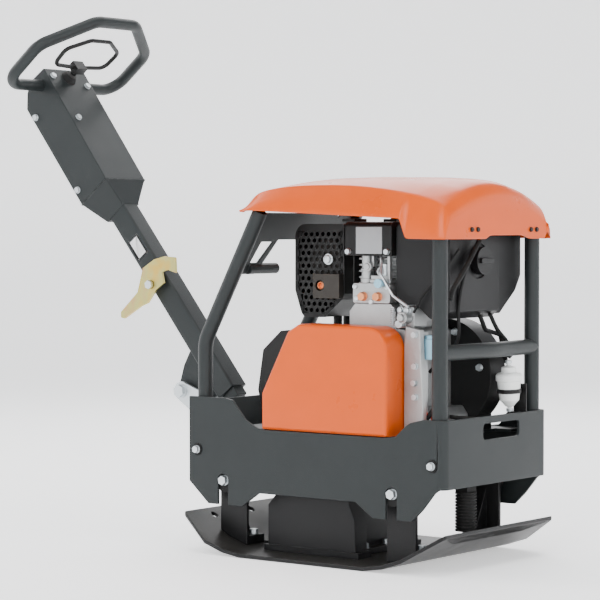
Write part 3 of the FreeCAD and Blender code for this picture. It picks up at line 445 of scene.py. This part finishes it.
def curve_points(corners, steps=10):
    """Smooth route through a few corners, by a Catmull-Rom curve."""
    corners = [Vector(c) for c in corners]
    padded = [corners[0] * 2 - corners[1]] + corners + [corners[-1] * 2 - corners[-2]]
    route = []
    for a, b, c, d in zip(padded, padded[1:], padded[2:], padded[3:]):
        for k in range(steps):
            t = k / steps
            route.append(0.5 * ((2 * b) + (c - a) * t + (2 * a - 5 * b + 4 * c - d) * t * t
                                + (3 * b - a - 3 * c + d) * t ** 3))
    route.append(corners[-1])
    return route


def millimetres(points):
    return [Vector(p) * MM for p in points]


def cable(name, corners, radius, body, slot="rubber", material=None):
    bm = bmesh.new()
    tube_mesh(bm, curve_points(millimetres(corners)), radius * MM)
    return add_piece(name, bm, body, slot, material)


def turned_mesh(bm, start, axis, profile, sides=40):
    """Body of revolution: profile holds (distance along axis, radius) pairs."""
    axis = Vector(axis).normalized()
    side = axis.orthogonal().normalized()
    up = axis.cross(side)
    rings = []
    for along, radius in profile:
        rings.append(sweep_ring(bm, Vector(start) + axis * along, side, up, max(radius, 0.01 * MM), sides))
    for first, second in zip(rings, rings[1:]):
        bridge(bm, first, second)
    bm.faces.new(list(reversed(rings[0])))
    bm.faces.new(rings[-1])


def turned(name, start, axis, profile, body, slot, material=None):
    """profile and start in millimetres."""
    bm = bmesh.new()
    turned_mesh(bm, Vector(start) * MM, axis, [(a * MM, r * MM) for a, r in profile])
    piece = add_piece(name, bm, body, slot, material)
    smooth_by_angle(piece, 35)
    bevel_modifier(piece, 0.5 * MM, 2)
    return piece


def add_bar(bm, low, high):
    """Box between two corners in millimetres."""
    low = Vector(low) * MM
    high = Vector(high) * MM
    size = high - low
    middle = (low + high) / 2
    for vert in bmesh.ops.create_cube(bm, size=1.0)["verts"]:
        vert.co = Vector((vert.co.x * size.x, vert.co.y * size.y, vert.co.z * size.z)) + middle


# ------------------------------------------------------------------ hood
# x, half width, crease height, height at y 90, height at the middle: the pressed shape along the machine
HOOD_ROWS = [
    (-176, 190, 687, 689, 690), (-170, 191, 694, 697, 698), (-150, 193, 715, 720, 724),
    (-128, 194, 724, 732, 737), (-72, 195, 731, 743, 748), (-18, 195, 733, 746, 750),
    (58, 196, 733, 747, 751), (120, 196, 729, 745, 750), (180, 196, 722, 742, 749),
    (240, 195, 712, 736, 746), (276, 195, 703, 730, 743), (292, 194, 697, 725, 738),
    (302, 192, 688, 716, 729), (309, 189, 676, 704, 716),
    (312, 188, 664, 690, 702),
]
HOOD_RIM = [(-200, 686), (-176, 686), (-107, 683), (214, 668), (227, 630), (296, 629), (330, 629)]


def rim_height(x):
    for (x0, z0), (x1, z1) in zip(HOOD_RIM, HOOD_RIM[1:]):
        if x0 <= x <= x1:
            return z0 + (z1 - z0) * (x - x0) / (x1 - x0)
    return HOOD_RIM[-1][1]


def row_at(x):
    """Row of the hood's shape at any place, between the two nearest of HOOD_ROWS."""
    for first, second in zip(HOOD_ROWS, HOOD_ROWS[1:]):
        if first[0] <= x <= second[0]:
            share = (x - first[0]) / (second[0] - first[0])
            return tuple(a + (b - a) * share for a, b in zip(first, second))
    return HOOD_ROWS[-1]


class COMPACTOR_OT_hood(Operator):
    """Build the pressed orange hood with its rolled rim and the lifting opening"""
    bl_idname = "compactor.hood"
    bl_label = "Hood"

    SIDE_PARTS = (0.0, 0.12, 0.55, 0.9)
    FRONT_PARTS = (0.1, 0.45, 0.88, 1.0)
    TOP_Y = (171, 158, 130, 106, 94, 70, 50, 44, 34, 18)
    STEP_X = (208, 213, 216, 225, 229, 236)
    STEP_Y = (-40, 100)
    STEP_Z = 636
    FRONT_Z = 629

    def section(self, row, rim):
        """Points of one half, from the rim up the side and over to the middle."""
        x, half, crease, shoulder, middle = row
        rim = min(rim, crease - 1.5)
        half_at = lambda part: half - (half - 173) * part ** 1.6
        points = [(half_at(part), rim + (crease - 4 - rim) * part) for part in self.SIDE_PARTS]
        for y in self.TOP_Y:
            if y >= 90:
                z = shoulder + (crease - shoulder) * ((y - 90) / 81) ** 1.4
            else:
                z = middle + (shoulder - middle) * (y / 90) ** 2
            points.append((y, z))
        return x, points, middle

    def execute(self, context):
        bm = bmesh.new()
        rows = []
        for station in sorted({row[0] for row in HOOD_ROWS} | set(self.STEP_X)):
            x, half_points, middle = self.section(row_at(station), rim_height(station))
            whole = [(-y, z) for y, z in half_points] + [(0, middle)]
            whole += [(y, z) for y, z in reversed(half_points)]
            rows.append(add_loop(bm, millimetres([(x, y, z) for y, z in whole])))
        for first, second in zip(rows, rows[1:]):
            bridge(bm, first, second, closed=False)
        self.close_front(bm, rows[-1])
        self.cut_opening(bm)
        self.crease(bm)
        bmesh.ops.recalc_face_normals(bm, faces=bm.faces)
        piece = add_piece("pressed_hood", bm, "frame", "orange_paint")
        if sum(p.normal.z * p.area for p in piece.data.polygons) < 0:
            piece.data.flip_normals()
        wall = piece.modifiers.new("Wall", "SOLIDIFY")
        wall.thickness = 4 * MM
        wall.offset = -1.0
        wall.edge_crease_outer = 0.7
        wall.edge_crease_inner = 0.7
        smooth = piece.modifiers.new("Smooth", "SUBSURF")
        smooth.levels = 2
        smooth.render_levels = 2
        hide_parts("hood")
        return {"FINISHED"}

    def close_front(self, bm, last):
        """Front panel: columns hang from the last section down to the rim, with the middle cut higher."""
        side_count = len(self.SIDE_PARTS)
        columns = [list(reversed(last[:side_count]))]
        x = last[0].co.x
        for top in last[side_count:-side_count]:
            y = top.co.y / MM
            low = self.STEP_Z if self.STEP_Y[0] < y < self.STEP_Y[1] else self.FRONT_Z
            column = [top]
            for part in self.FRONT_PARTS:
                column.append(bm.verts.new((x, top.co.y, top.co.z + (low * MM - top.co.z) * part)))
            columns.append(column)
        columns.append(list(reversed(last[-side_count:])))
        # rows between two hanging columns
        inner = columns[1:-1]
        for first, second in zip(inner, inner[1:]):
            for k in range(side_count):
                bm.faces.new((first[k], second[k], second[k + 1], first[k + 1]))
        for outer, hanging in ((columns[0], inner[0]), (columns[-1], inner[-1])):
            bm.faces.new((hanging[0], outer[0], hanging[1]))
            for k in range(side_count - 1):
                bm.faces.new((outer[k], outer[k + 1], hanging[k + 2], hanging[k + 1]))

    def crease(self, bm):
        """Firmer edge between side and top, and at the two front corners."""
        layer = bm.edges.layers.float.new("crease_edge")
        for edge in bm.edges:
            a, b = (v.co / MM for v in edge.verts)
            if all(abs(abs(p.y) - 171) < 0.1 and p.z > 640 for p in (a, b)) and abs(a.x - b.x) > 1:
                edge[layer] = 0.55
            if all(p.x > 311.9 and abs(p.y) > 172 for p in (a, b)) and abs(a.z - b.z) > 2:
                edge[layer] = 0.5

    def cut_opening(self, bm):
        doomed = []
        for face in bm.faces:
            centre = face.calc_center_median() / MM
            if -18 < centre.x < 58 and abs(centre.y) < 50 and centre.z > 720:
                doomed.append(face)
        bmesh.ops.delete(bm, geom=doomed, context="FACES")


# ------------------------------------------------------------------ sheet metal, castings and engine
class COMPACTOR_OT_sheet_metal(Operator):
    """Round the edges of the skirt, posts, gusset, deck and handle"""
    bl_idname = "compactor.sheet_metal"
    bl_label = "Sheet metal"

    SEAM_FOOT = 120.5 * MM

    def execute(self, context):
        edge = sizes().sheet_edge
        self.skirt(edge)
        for node in ("rear_plate", "engine_deck", "rear_gusset", "handle_bracket", "belt_backplate",
                     "lifting_bar"):
            soften(node, edge)
        for node in ("front_posts", "rear_posts", "cross_tube", "ring_bar", "control_loop"):
            soften(node, edge * 0.6, segments=2)
        soften("handle_pole", edge * 1.2)
        soften("handle_head", edge * 2.0)
        soften("latch_hook", edge * 0.8)
        return {"FINISHED"}

    def skirt(self, edge):
        """Side plates and front plate as the one bent and welded skirt that they form."""
        nodes = ("side_plate_right", "side_plate_left", "front_plate")
        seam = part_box("front_plate")[0].x
        bm = bmesh.new()
        for node in nodes:
            bm.from_mesh(frame["nodes"][node].data)
        for vert in bm.verts:
            if abs(vert.co.x - seam) < 0.05 * MM and abs(vert.co.z - self.SEAM_FOOT) < 1.5 * MM:
                vert.co.z = self.SEAM_FOOT
        bmesh.ops.remove_doubles(bm, verts=bm.verts, dist=0.05 * MM)
        inner = [f for f in bm.faces if abs(f.calc_center_median().x - seam) < 0.05 * MM
                 and abs(f.normal.x) > 0.99]
        bmesh.ops.delete(bm, geom=inner, context="FACES_ONLY")
        bmesh.ops.dissolve_limit(bm, angle_limit=math.radians(0.4), use_dissolve_boundaries=False,
                                 verts=bm.verts, edges=bm.edges)
        piece = add_piece("finished_skirt", bm, "frame", "anthracite_paint")
        smooth_by_angle(piece, 32)
        bevel_modifier(piece, edge)
        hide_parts(*nodes)


class COMPACTOR_OT_castings(Operator):
    """Round the edges of the base plate, brackets, exciter and engine castings"""
    bl_idname = "compactor.castings"
    bl_label = "Castings"

    def execute(self, context):
        edge = sizes().cast_edge
        for node in ("base_plate", "exciter_housing", "mount_brackets", "crankcase", "timing_cover"):
            soften(node, edge * 0.8)
        for node in ("cylinder", "valve_cover", "injection_pump", "fan_housing", "recoil_cover",
                     "exciter_bearing_caps"):
            soften(node, edge * 0.4, segments=2)
        return {"FINISHED"}


class COMPACTOR_OT_covers(Operator):
    """Round the tank, air cleaner, shroud and belt covers, and build the fuel filter"""
    bl_idname = "compactor.covers"
    bl_label = "Covers"

    LOWER_COVER_FACE = -146 * MM
    FOOT_TOP = 22 * MM

    def execute(self, context):
        edge = sizes().cover_edge
        guard_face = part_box("belt_guard")[0].y
        soften("belt_guard", 0.7 * MM, big=edge, pick=lambda c: abs(c.y - guard_face) < 0.3 * MM)
        soften("lower_belt_cover", 0.8 * MM, big=3 * MM,
               pick=lambda c: abs(c.y - self.LOWER_COVER_FACE) < 0.3 * MM and c.z > self.FOOT_TOP)
        soften("fuel_tank", 1.5 * MM)
        soften("air_cleaner", 1.5 * MM)
        soften("engine_shroud", 1.0 * MM)
        soften("fuel_cap", 1.0 * MM)
        self.filter()
        return {"FINISHED"}

    def filter(self):
        """White fuel filter: nipple, tapered bowl, wide cap and neck, on its strap and bracket."""
        low = Vector((284, 84, 293))
        axis = Vector((0, -5, 96)).normalized()
        body = turned("finished_fuel_filter", low, axis,
                      [(-3, 4), (7, 4.5), (8, 8), (15, 14), (20, 19), (40, 22), (57, 23), (59, 26),
                       (69, 26), (73, 23), (75, 15), (85, 14), (87, 8), (89, 4.5), (99, 4.5)],
                      "frame", SLOT_OF["fuel_filter"], "filter_white")
        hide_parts("fuel_filter")
        turned("filter_strap", low + axis * 34, axis, [(0, 22.5), (0.5, 24), (8, 24), (8.5, 22.8)],
               "frame", SLOT_OF["fuel_filter"], "black_sheet")
        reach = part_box("fuel_filter")[1].x / MM
        bm = bmesh.new()
        add_bar(bm, (280, 104, 290), (reach, 107, 345))
        add_bar(bm, (280, 90, 286), (reach, 108, 290))
        arm = add_piece("filter_bracket", bm, "frame", SLOT_OF["fuel_filter"], "black_sheet")
        smooth_by_angle(arm)
        for k, along in enumerate((-2, 92)):
            turned("filter_clamp_%d" % k, low + axis * along, axis,
                   [(0, 6.4), (0.4, 6.8), (5.6, 6.8), (6, 6.4)],
                   "frame", SLOT_OF["fuel_filter"], "pale_zinc")


class COMPACTOR_OT_fasteners(Operator):
    """Round the edges of bolts, pins, plugs and plates"""
    bl_idname = "compactor.fasteners"
    bl_label = "Fasteners"

    HOOD_SCREWS_FROM = (300 * MM, 600 * MM)

    def execute(self, context):
        for node in ("frame_bolts", "base_bolts", "handle_fasteners", "fold_pin", "copper_plugs"):
            soften(node, 0.5 * MM, segments=2)
        screws = bpy.data.objects["finished_frame_bolts"].data
        screws.materials.append(MATERIALS["black_sheet"])
        for polygon in screws.polygons:
            if polygon.center.x > self.HOOD_SCREWS_FROM[0] and polygon.center.z > self.HOOD_SCREWS_FROM[1]:
                polygon.material_index = 1
        for node in ("data_plate", "port_grommets", "rubber_mounts", "drain_hose", "exhaust_outlet",
                     "control_boot"):
            soften(node, 0.4 * MM, segments=2)
        return {"FINISHED"}


def rounded_outline(corners, steps=6):
    """Outline with arcs at its corners, each corner as (x, z, radius)."""
    outline = []
    for k, (x, z, radius) in enumerate(corners):
        here = Vector((x, z))
        back = (Vector(corners[k - 1][:2]) - here).normalized()
        ahead = (Vector(corners[(k + 1) % len(corners)][:2]) - here).normalized()
        half = back.angle(ahead) / 2
        centre = here + (back + ahead).normalized() * (radius / math.sin(half))
        start = here + back * (radius / math.tan(half)) - centre
        end = here + ahead * (radius / math.tan(half)) - centre
        turn = math.pi - 2 * half
        for step in range(steps + 1):
            share = step / steps
            spoke = start * math.sin((1 - share) * turn) + end * math.sin(share * turn)
            outline.append(tuple(centre + spoke / math.sin(turn)))
    return outline


class COMPACTOR_OT_muffler_guard(Operator):
    """Build the perforated guard round the muffler, with its frame, stays and bolt"""
    bl_idname = "compactor.muffler_guard"
    bl_label = "Muffler guard"

    CORNERS = [(-115, 526, 24), (-96, 472, 16), (-41, 473, 10), (0, 508, 8), (6, 520, 6), (6, 658, 5),
               (-115, 658, 26)]
    OUTLINE = rounded_outline(CORNERS)

    def inside(self, x, z, margin):
        """True when a point lies inside the outline by at least a margin."""
        count = len(self.OUTLINE)
        for k in range(count):
            x0, z0 = self.OUTLINE[k]
            x1, z1 = self.OUTLINE[(k + 1) % count]
            length = math.hypot(x1 - x0, z1 - z0)
            if ((x1 - x0) * (z - z0) - (z1 - z0) * (x - x0)) / length < margin:
                return False
        return True

    def execute(self, context):
        low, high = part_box("muffler_guard")
        bm = bmesh.new()
        loops = [add_loop(bm, millimetres([(x, y, z) for x, z in self.OUTLINE]))
                 for y in (low.y / MM, high.y / MM)]
        bridge(bm, *loops)
        bm.faces.new(loops[1])
        bmesh.ops.recalc_face_normals(bm, faces=bm.faces)
        walls = add_piece("muffler_guard_walls", bm, "frame", "black_sheet")
        middle = Vector((-55 * MM, 0, 570 * MM))
        if sum(p.normal.dot(p.center - middle) * p.area for p in walls.data.polygons) < 0:
            walls.data.flip_normals()
        smooth_by_angle(walls)
        sheet = walls.modifiers.new("Wall", "SOLIDIFY")
        sheet.thickness = 2.5 * MM
        sheet.offset = -1.0
        self.stays()
        self.panel(low.y)
        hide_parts("muffler_guard")
        turned("guard_bolt", (-32, low.y / MM - 0.5, 588), (0, -1, 0),
               [(0, 11), (2, 11), (2.2, 8), (8, 8), (9, 6)], "frame", "pale_zinc")
        soften("muffler", 1.5 * MM)
        turned("exhaust_pipe", (-44, -86, 536), (0, -1, 0),
               [(0, 8), (10, 8), (11, 7), (10.5, 6), (3, 5.6)],
               "frame", "exhaust_steel", "copper")
        return {"FINISHED"}

    def stays(self):
        """The two rods below the guard, kept from the plain node."""
        bm = node_bmesh("muffler_guard")
        upper = [f for f in bm.faces if f.calc_center_median().z > 470 * MM]
        bmesh.ops.delete(bm, geom=upper, context="FACES")
        smooth_by_angle(add_piece("muffler_guard_stays", bm, "frame", "black_sheet"))

    def panel(self, y):
        """Sheet of square cells, each with a round hole where it is far enough from the rim."""
        pitch = sizes().hole_pitch / MM
        radius = sizes().hole_radius / MM
        bm = bmesh.new()
        columns = range(-9, 2)
        for row in range(15):
            for column in columns:
                x = column * pitch + (pitch / 2 if row % 2 else 0) + 3
                z = 474 + row * pitch * 0.9
                self.cell(bm, x, y / MM, z, pitch, pitch * 0.9, radius)
        rim = self.OUTLINE
        centre_x = sum(x for x, z in rim) / len(rim)
        centre_z = sum(z for x, z in rim) / len(rim)
        outer = add_loop(bm, millimetres([(x, y / MM, z) for x, z in rim]))
        inner = add_loop(bm, millimetres([(x + (centre_x - x) * 0.15, y / MM, z + (centre_z - z) * 0.12)
                                          for x, z in rim]))
        bridge(bm, outer, inner)
        box_low = (-60, 511)
        box_high = (4, 559)
        bmesh.ops.remove_doubles(bm, verts=bm.verts, dist=0.05 * MM)
        doomed = []
        for face in bm.faces:
            c = face.calc_center_median() / MM
            if box_low[0] < c.x < box_high[0] and box_low[1] < c.z < box_high[1]:
                doomed.append(face)
        bmesh.ops.delete(bm, geom=doomed, context="FACES")
        piece = add_piece("perforated_sheet", bm, "frame", "black_sheet")
        smooth_by_angle(piece)
        wall = piece.modifiers.new("Wall", "SOLIDIFY")
        wall.thickness = 2 * MM
        wall.offset = 0

    def cell(self, bm, x, y, z, width, height, radius):
        if not self.inside(x, z, 9.0):
            return
        sides = 12
        hole = []
        edge = []
        for k in range(sides):
            angle = 2 * math.pi * (k + 0.5) / sides
            ux, uz = math.cos(angle), math.sin(angle)
            hole.append((x + radius * ux, y, z + radius * uz))
            reach = min(width / 2 / max(abs(ux), 1e-6), height / 2 / max(abs(uz), 1e-6))
            edge.append((x + reach * ux, y, z + reach * uz))
        outer = add_loop(bm, millimetres(edge))
        inner = add_loop(bm, millimetres(hole))
        bridge(bm, outer, inner)
        for sx in (-1, 1):
            for sz in (-1, 1):
                corner = (x + sx * width / 2, y, z + sz * height / 2)
                near = sorted(outer, key=lambda v: (v.co - Vector(corner) * MM).length)[:2]
                bm.faces.new((near[0], near[1], bm.verts.new(Vector(corner) * MM)))


class COMPACTOR_OT_engine_details(Operator):
    """Add wiring, hoses, fittings and the head's housing, lug and plates"""
    bl_idname = "compactor.engine_details"
    bl_label = "Engine details"

    def execute(self, context):
        cable("stay_right", [(178, -101, 640), (196, -101, 590), (214, -101, 535), (229, -101, 490)], 3.0,
              "frame", "black_sheet")
        cable("harness_main", [(284, -26, 626), (283, -52, 596), (284, -86, 562), (287, -120, 535),
                               (286, -129, 514)], 5.0, "frame")
        cable("harness_branch", [(284, -30, 622), (276, -66, 560), (272, -80, 500), (262, -72, 430),
                                 (196, -66, 372)], 3.4, "frame")
        cable("return_hose", [(262, 46, 482), (270, 60, 452), (280, 76, 430), (288, 84, 408),
                              (284, 79, 396)], 4.2, "frame")
        cable("filter_outlet", [(284, 84, 288), (276, 74, 280), (256, 40, 276), (206, -10, 282)], 4.2,
              "frame")
        cable("starter_lead", [(206, -60, 300), (226, -84, 312), (222, -104, 292), (206, -108, 272)], 4.6,
              "frame")
        cable("throttle_cable", [(196, -120, 488), (214, -118, 520), (236, -112, 545), (262, -108, 575),
                                 (280, -90, 610)], 2.6, "frame")
        cable("hydraulic_hose_right", [(-420, -34, 262), (-386, -38, 236), (-352, -38, 222),
                                       (-318, -36, 240)], 6.0, "frame")
        turned("blue_fitting", (118, -117, 543), (0, -1, 0), [(0, 7), (7, 7), (7.3, 9), (13, 9), (14, 5)],
               "frame", "black_plastic", "pale_blue")
        turned("red_fitting", (204, -100, 292), (0, -1, 0),
               [(0, 11), (5, 11), (5.3, 15), (12, 15), (13, 9), (16, 9)],
               "frame", "black_plastic", "signal_red")
        turned("oil_filler", (222, -86, 290), (1, 0, -0.1),
               [(0, 15), (9, 15), (9.3, 19), (17, 19), (18, 12)],
               "frame", "black_plastic", "signal_red")
        turned("grey_solenoid", (214, -88, 418), (0, 0, 1),
               [(-20, 14), (-18, 16), (18, 16), (20, 12), (26, 12)],
               "frame", "black_plastic", "pale_blue")
        turned("rocker_cover_plug", (90, -118, 575), (0, -1, 0), [(0, 9), (6, 9), (6.3, 6), (10, 6)],
               "frame", "die_cast")
        self.pump_details()
        self.head_details()
        return {"FINISHED"}

    def pump_details(self):
        for k, x in enumerate((164, 180)):
            turned("pump_plug_%d" % k, (x, -112, 492), (0, -1, 0),
                   [(0, 7), (5, 7), (5.3, 5.4), (11, 5.4), (12, 3.5)], "frame", "die_cast", "pale_zinc")
        turned("governor_spring_seat", (170, -116, 466), (0, -1, 0),
               [(0, 6), (14, 6), (14.3, 8), (18, 8)], "frame", "die_cast", "pale_zinc")
        turns = 9
        steps = 14
        radius = 4.2
        pitch = 4.0
        coil = []
        for k in range(turns * steps + 1):
            angle = 2 * math.pi * k / steps
            coil.append((152 + radius * math.cos(angle), -128 + radius * math.sin(angle),
                         462 + pitch * k / steps))
        bm = bmesh.new()
        tube_mesh(bm, millimetres(coil), 1.0 * MM, 8)
        add_piece("governor_spring", bm, "frame", "pale_zinc")

    def head_details(self):
        """Rocker housing, lifting lug, plate and stays on the cylinder's right side."""
        turned("rocker_housing", (74, -101, 543), (0, 0, 1),
               [(0, 13.5), (9, 13.5), (9.5, 11.5), (24, 11.5), (24.5, 13), (28, 13), (28.5, 11), (53, 11)],
               "frame", "die_cast")
        bm = bmesh.new()
        loop = [(112 + 7 * math.cos(k * math.pi / 10), -110, 566 + 7 * math.sin(k * math.pi / 10))
                for k in range(21)]
        tube_mesh(bm, millimetres(loop), 2.6 * MM, 10)
        tube_mesh(bm, millimetres([(112, -110, 572), (112, -110, 596)]), 2.4 * MM, 10)
        add_piece("lifting_lug", bm, "frame", "die_cast")
        bm = bmesh.new()
        add_bar(bm, (88, -113, 543), (136, -92, 550))
        add_bar(bm, (90, -112, 550), (134, -106, 558))
        add_bar(bm, (129, -113, 550), (135, -104, 596))
        add_bar(bm, (92, -113, 575), (97, -100, 596))
        plates = add_piece("head_plates", bm, "frame", "die_cast")
        smooth_by_angle(plates)
        bevel_modifier(plates, 1.0 * MM, 2)
        for k, (x, z) in enumerate(((56, 536), (132, 536), (94, 507), (60, 513))):
            turned("head_bolt_%d" % k, (x, -116, z), (0, -1, 0), [(0, 5), (4, 5), (4.5, 4)],
                   "frame", "die_cast", "pale_zinc")


class COMPACTOR_OT_labels(Operator):
    """Stick a blank label on the handle"""
    bl_idname = "compactor.labels"
    bl_label = "Labels"

    def execute(self, context):
        joint = next(j for j in frame["joints"] if j["name"] == "handle_fold")
        pivot = Vector(joint["pos_m"])
        tilt = math.radians(38.6)
        along = Vector((-math.sin(tilt), 0, math.cos(tilt)))
        ahead = Vector((math.cos(tilt), 0, math.sin(tilt)))
        side_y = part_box("handle_pole")[0].y
        bm = bmesh.new()
        outer = []
        corner = 4 * MM
        for d, n, start in ((291, 104, 0), (291, 72, 90), (342, 72, 180), (342, 104, 270)):
            for k in range(5):
                angle = math.radians(start + 90 * k / 4)
                sign_d = 1 if d < 310 else -1
                sign_n = -1 if n > 90 else 1
                reach_d = corner * (1 - abs(math.cos(angle)))
                reach_n = corner * (1 - abs(math.sin(angle)))
                spot = pivot + along * (d * MM + sign_d * reach_d) + ahead * (n * MM + sign_n * reach_n)
                outer.append(Vector((spot.x, side_y - 0.25 * MM, spot.z)))
        bm.faces.new(add_loop(bm, outer))
        label = add_piece("blank_label", bm, "handle", "filter_white", "label")
        wall = label.modifiers.new("Film", "SOLIDIFY")
        wall.thickness = 0.3 * MM
        wall.offset = 0
        return {"FINISHED"}


class COMPACTOR_OT_plain_nodes(Operator):
    """Give every remaining node its finish"""
    bl_idname = "compactor.plain_nodes"
    bl_label = "Remaining nodes"

    def execute(self, context):
        for node, thing in frame["nodes"].items():
            thing.data.materials.clear()
            thing.data.materials.append(MATERIALS[SLOT_OF[node]])
        return {"FINISHED"}


class COMPACTOR_OT_stage(Operator):
    """Make the pale floor, the soft lights and the camera"""
    bl_idname = "compactor.stage"
    bl_label = "Stage"

    CAMERA_PLACE = (2.7389, -3.8191, 0.6533)
    CAMERA_AIM = (-0.1684, 0.0, 0.5025)
    LENS = 140.92
    # radius and height of the round cove, in metres
    COVE = ((0.6, 0.0), (5.4, 0.0), (6.2, 0.08), (6.8, 0.36), (7.1, 1.0), (7.2, 3.4))

    def execute(self, context):
        bm = bmesh.new()
        loops = [sweep_ring(bm, Vector((0, 0, z)), Vector((1, 0, 0)), Vector((0, 1, 0)), r, 72)
                 for r, z in self.COVE]
        bm.faces.new(loops[0])
        for first, second in zip(loops, loops[1:]):
            bridge(bm, second, first)
        mesh = bpy.data.meshes.new("studio_floor")
        bm.to_mesh(mesh)
        bm.free()
        floor = bpy.data.objects.new("studio_floor", mesh)
        floor.location.z = -0.0004
        bpy.context.scene.collection.objects.link(floor)
        mesh.materials.append(MATERIALS["floor"])
        for polygon in mesh.polygons:
            polygon.use_smooth = True

        camera_data = bpy.data.cameras.new("camera")
        camera_data.lens = self.LENS
        camera_data.sensor_width = 36.0
        camera_data.clip_end = 60
        camera = bpy.data.objects.new("camera", camera_data)
        camera.location = self.CAMERA_PLACE
        aim = Vector(self.CAMERA_AIM) - camera.location
        camera.rotation_euler = aim.to_track_quat("-Z", "Y").to_euler()
        bpy.context.scene.collection.objects.link(camera)
        bpy.context.scene.camera = camera

        self.area("key", (1.0, -4.2, 3.2), 2.2, 120)
        self.area("fill", (4.4, -1.0, 2.0), 2.6, 60)
        self.area("rim", (-3.4, -0.6, 2.6), 1.6, 60)
        self.area("back", (-1.6, 2.6, 3.0), 2.6, 90)
        self.area("overhead", (0.0, 0.0, 4.2), 3.4, 110)
        world = bpy.data.worlds.new("studio")
        world.use_nodes = True
        world.node_tree.nodes["Background"].inputs["Color"].default_value = (0.9, 0.93, 1.0, 1)
        world.node_tree.nodes["Background"].inputs["Strength"].default_value = 0.5
        bpy.context.scene.world = world
        return {"FINISHED"}

    def area(self, name, place, size, power):
        data = bpy.data.lights.new(name, "AREA")
        data.shape = "SQUARE"
        data.size = size
        data.energy = power
        light = bpy.data.objects.new(name, data)
        light.location = place
        aim = Vector((0, 0, 0.45)) - light.location
        light.rotation_euler = aim.to_track_quat("-Z", "Y").to_euler()
        bpy.context.scene.collection.objects.link(light)


STEPS = (COMPACTOR_OT_finishes, COMPACTOR_OT_plain_nodes, COMPACTOR_OT_hood, COMPACTOR_OT_sheet_metal,
         COMPACTOR_OT_castings, COMPACTOR_OT_covers, COMPACTOR_OT_fasteners, COMPACTOR_OT_muffler_guard,
         COMPACTOR_OT_engine_details, COMPACTOR_OT_labels, COMPACTOR_OT_stage)


class COMPACTOR_PT_panel(Panel):
    """Steps and settings of the plate compactor"""
    bl_idname = "COMPACTOR_PT_panel"
    bl_label = "Plate Compactor"
    bl_space_type = "VIEW_3D"
    bl_region_type = "UI"
    bl_category = "Compactor"

    def draw(self, context):
        layout = self.layout
        for step in STEPS:
            layout.operator(step.bl_idname)
        for group in (colours(), sizes()):
            box = layout.box()
            for key in group.bl_rna.properties.keys():
                if key not in ("rna_type", "name"):
                    box.prop(group, key)


CLASSES = (CompactorColours, CompactorSizes) + STEPS + (COMPACTOR_PT_panel,)


def register():
    for item in CLASSES:
        bpy.utils.register_class(item)
    bpy.types.Scene.compactor_colours = PointerProperty(type=CompactorColours)
    bpy.types.Scene.compactor_sizes = PointerProperty(type=CompactorSizes)


def unregister():
    del bpy.types.Scene.compactor_sizes
    del bpy.types.Scene.compactor_colours
    for item in reversed(CLASSES):
        bpy.utils.unregister_class(item)


def main():
    register()
    for step in STEPS:
        group, name = step.bl_idname.split(".")
        getattr(getattr(bpy.ops, group), name)()


if __name__ == "__main__":
    main()
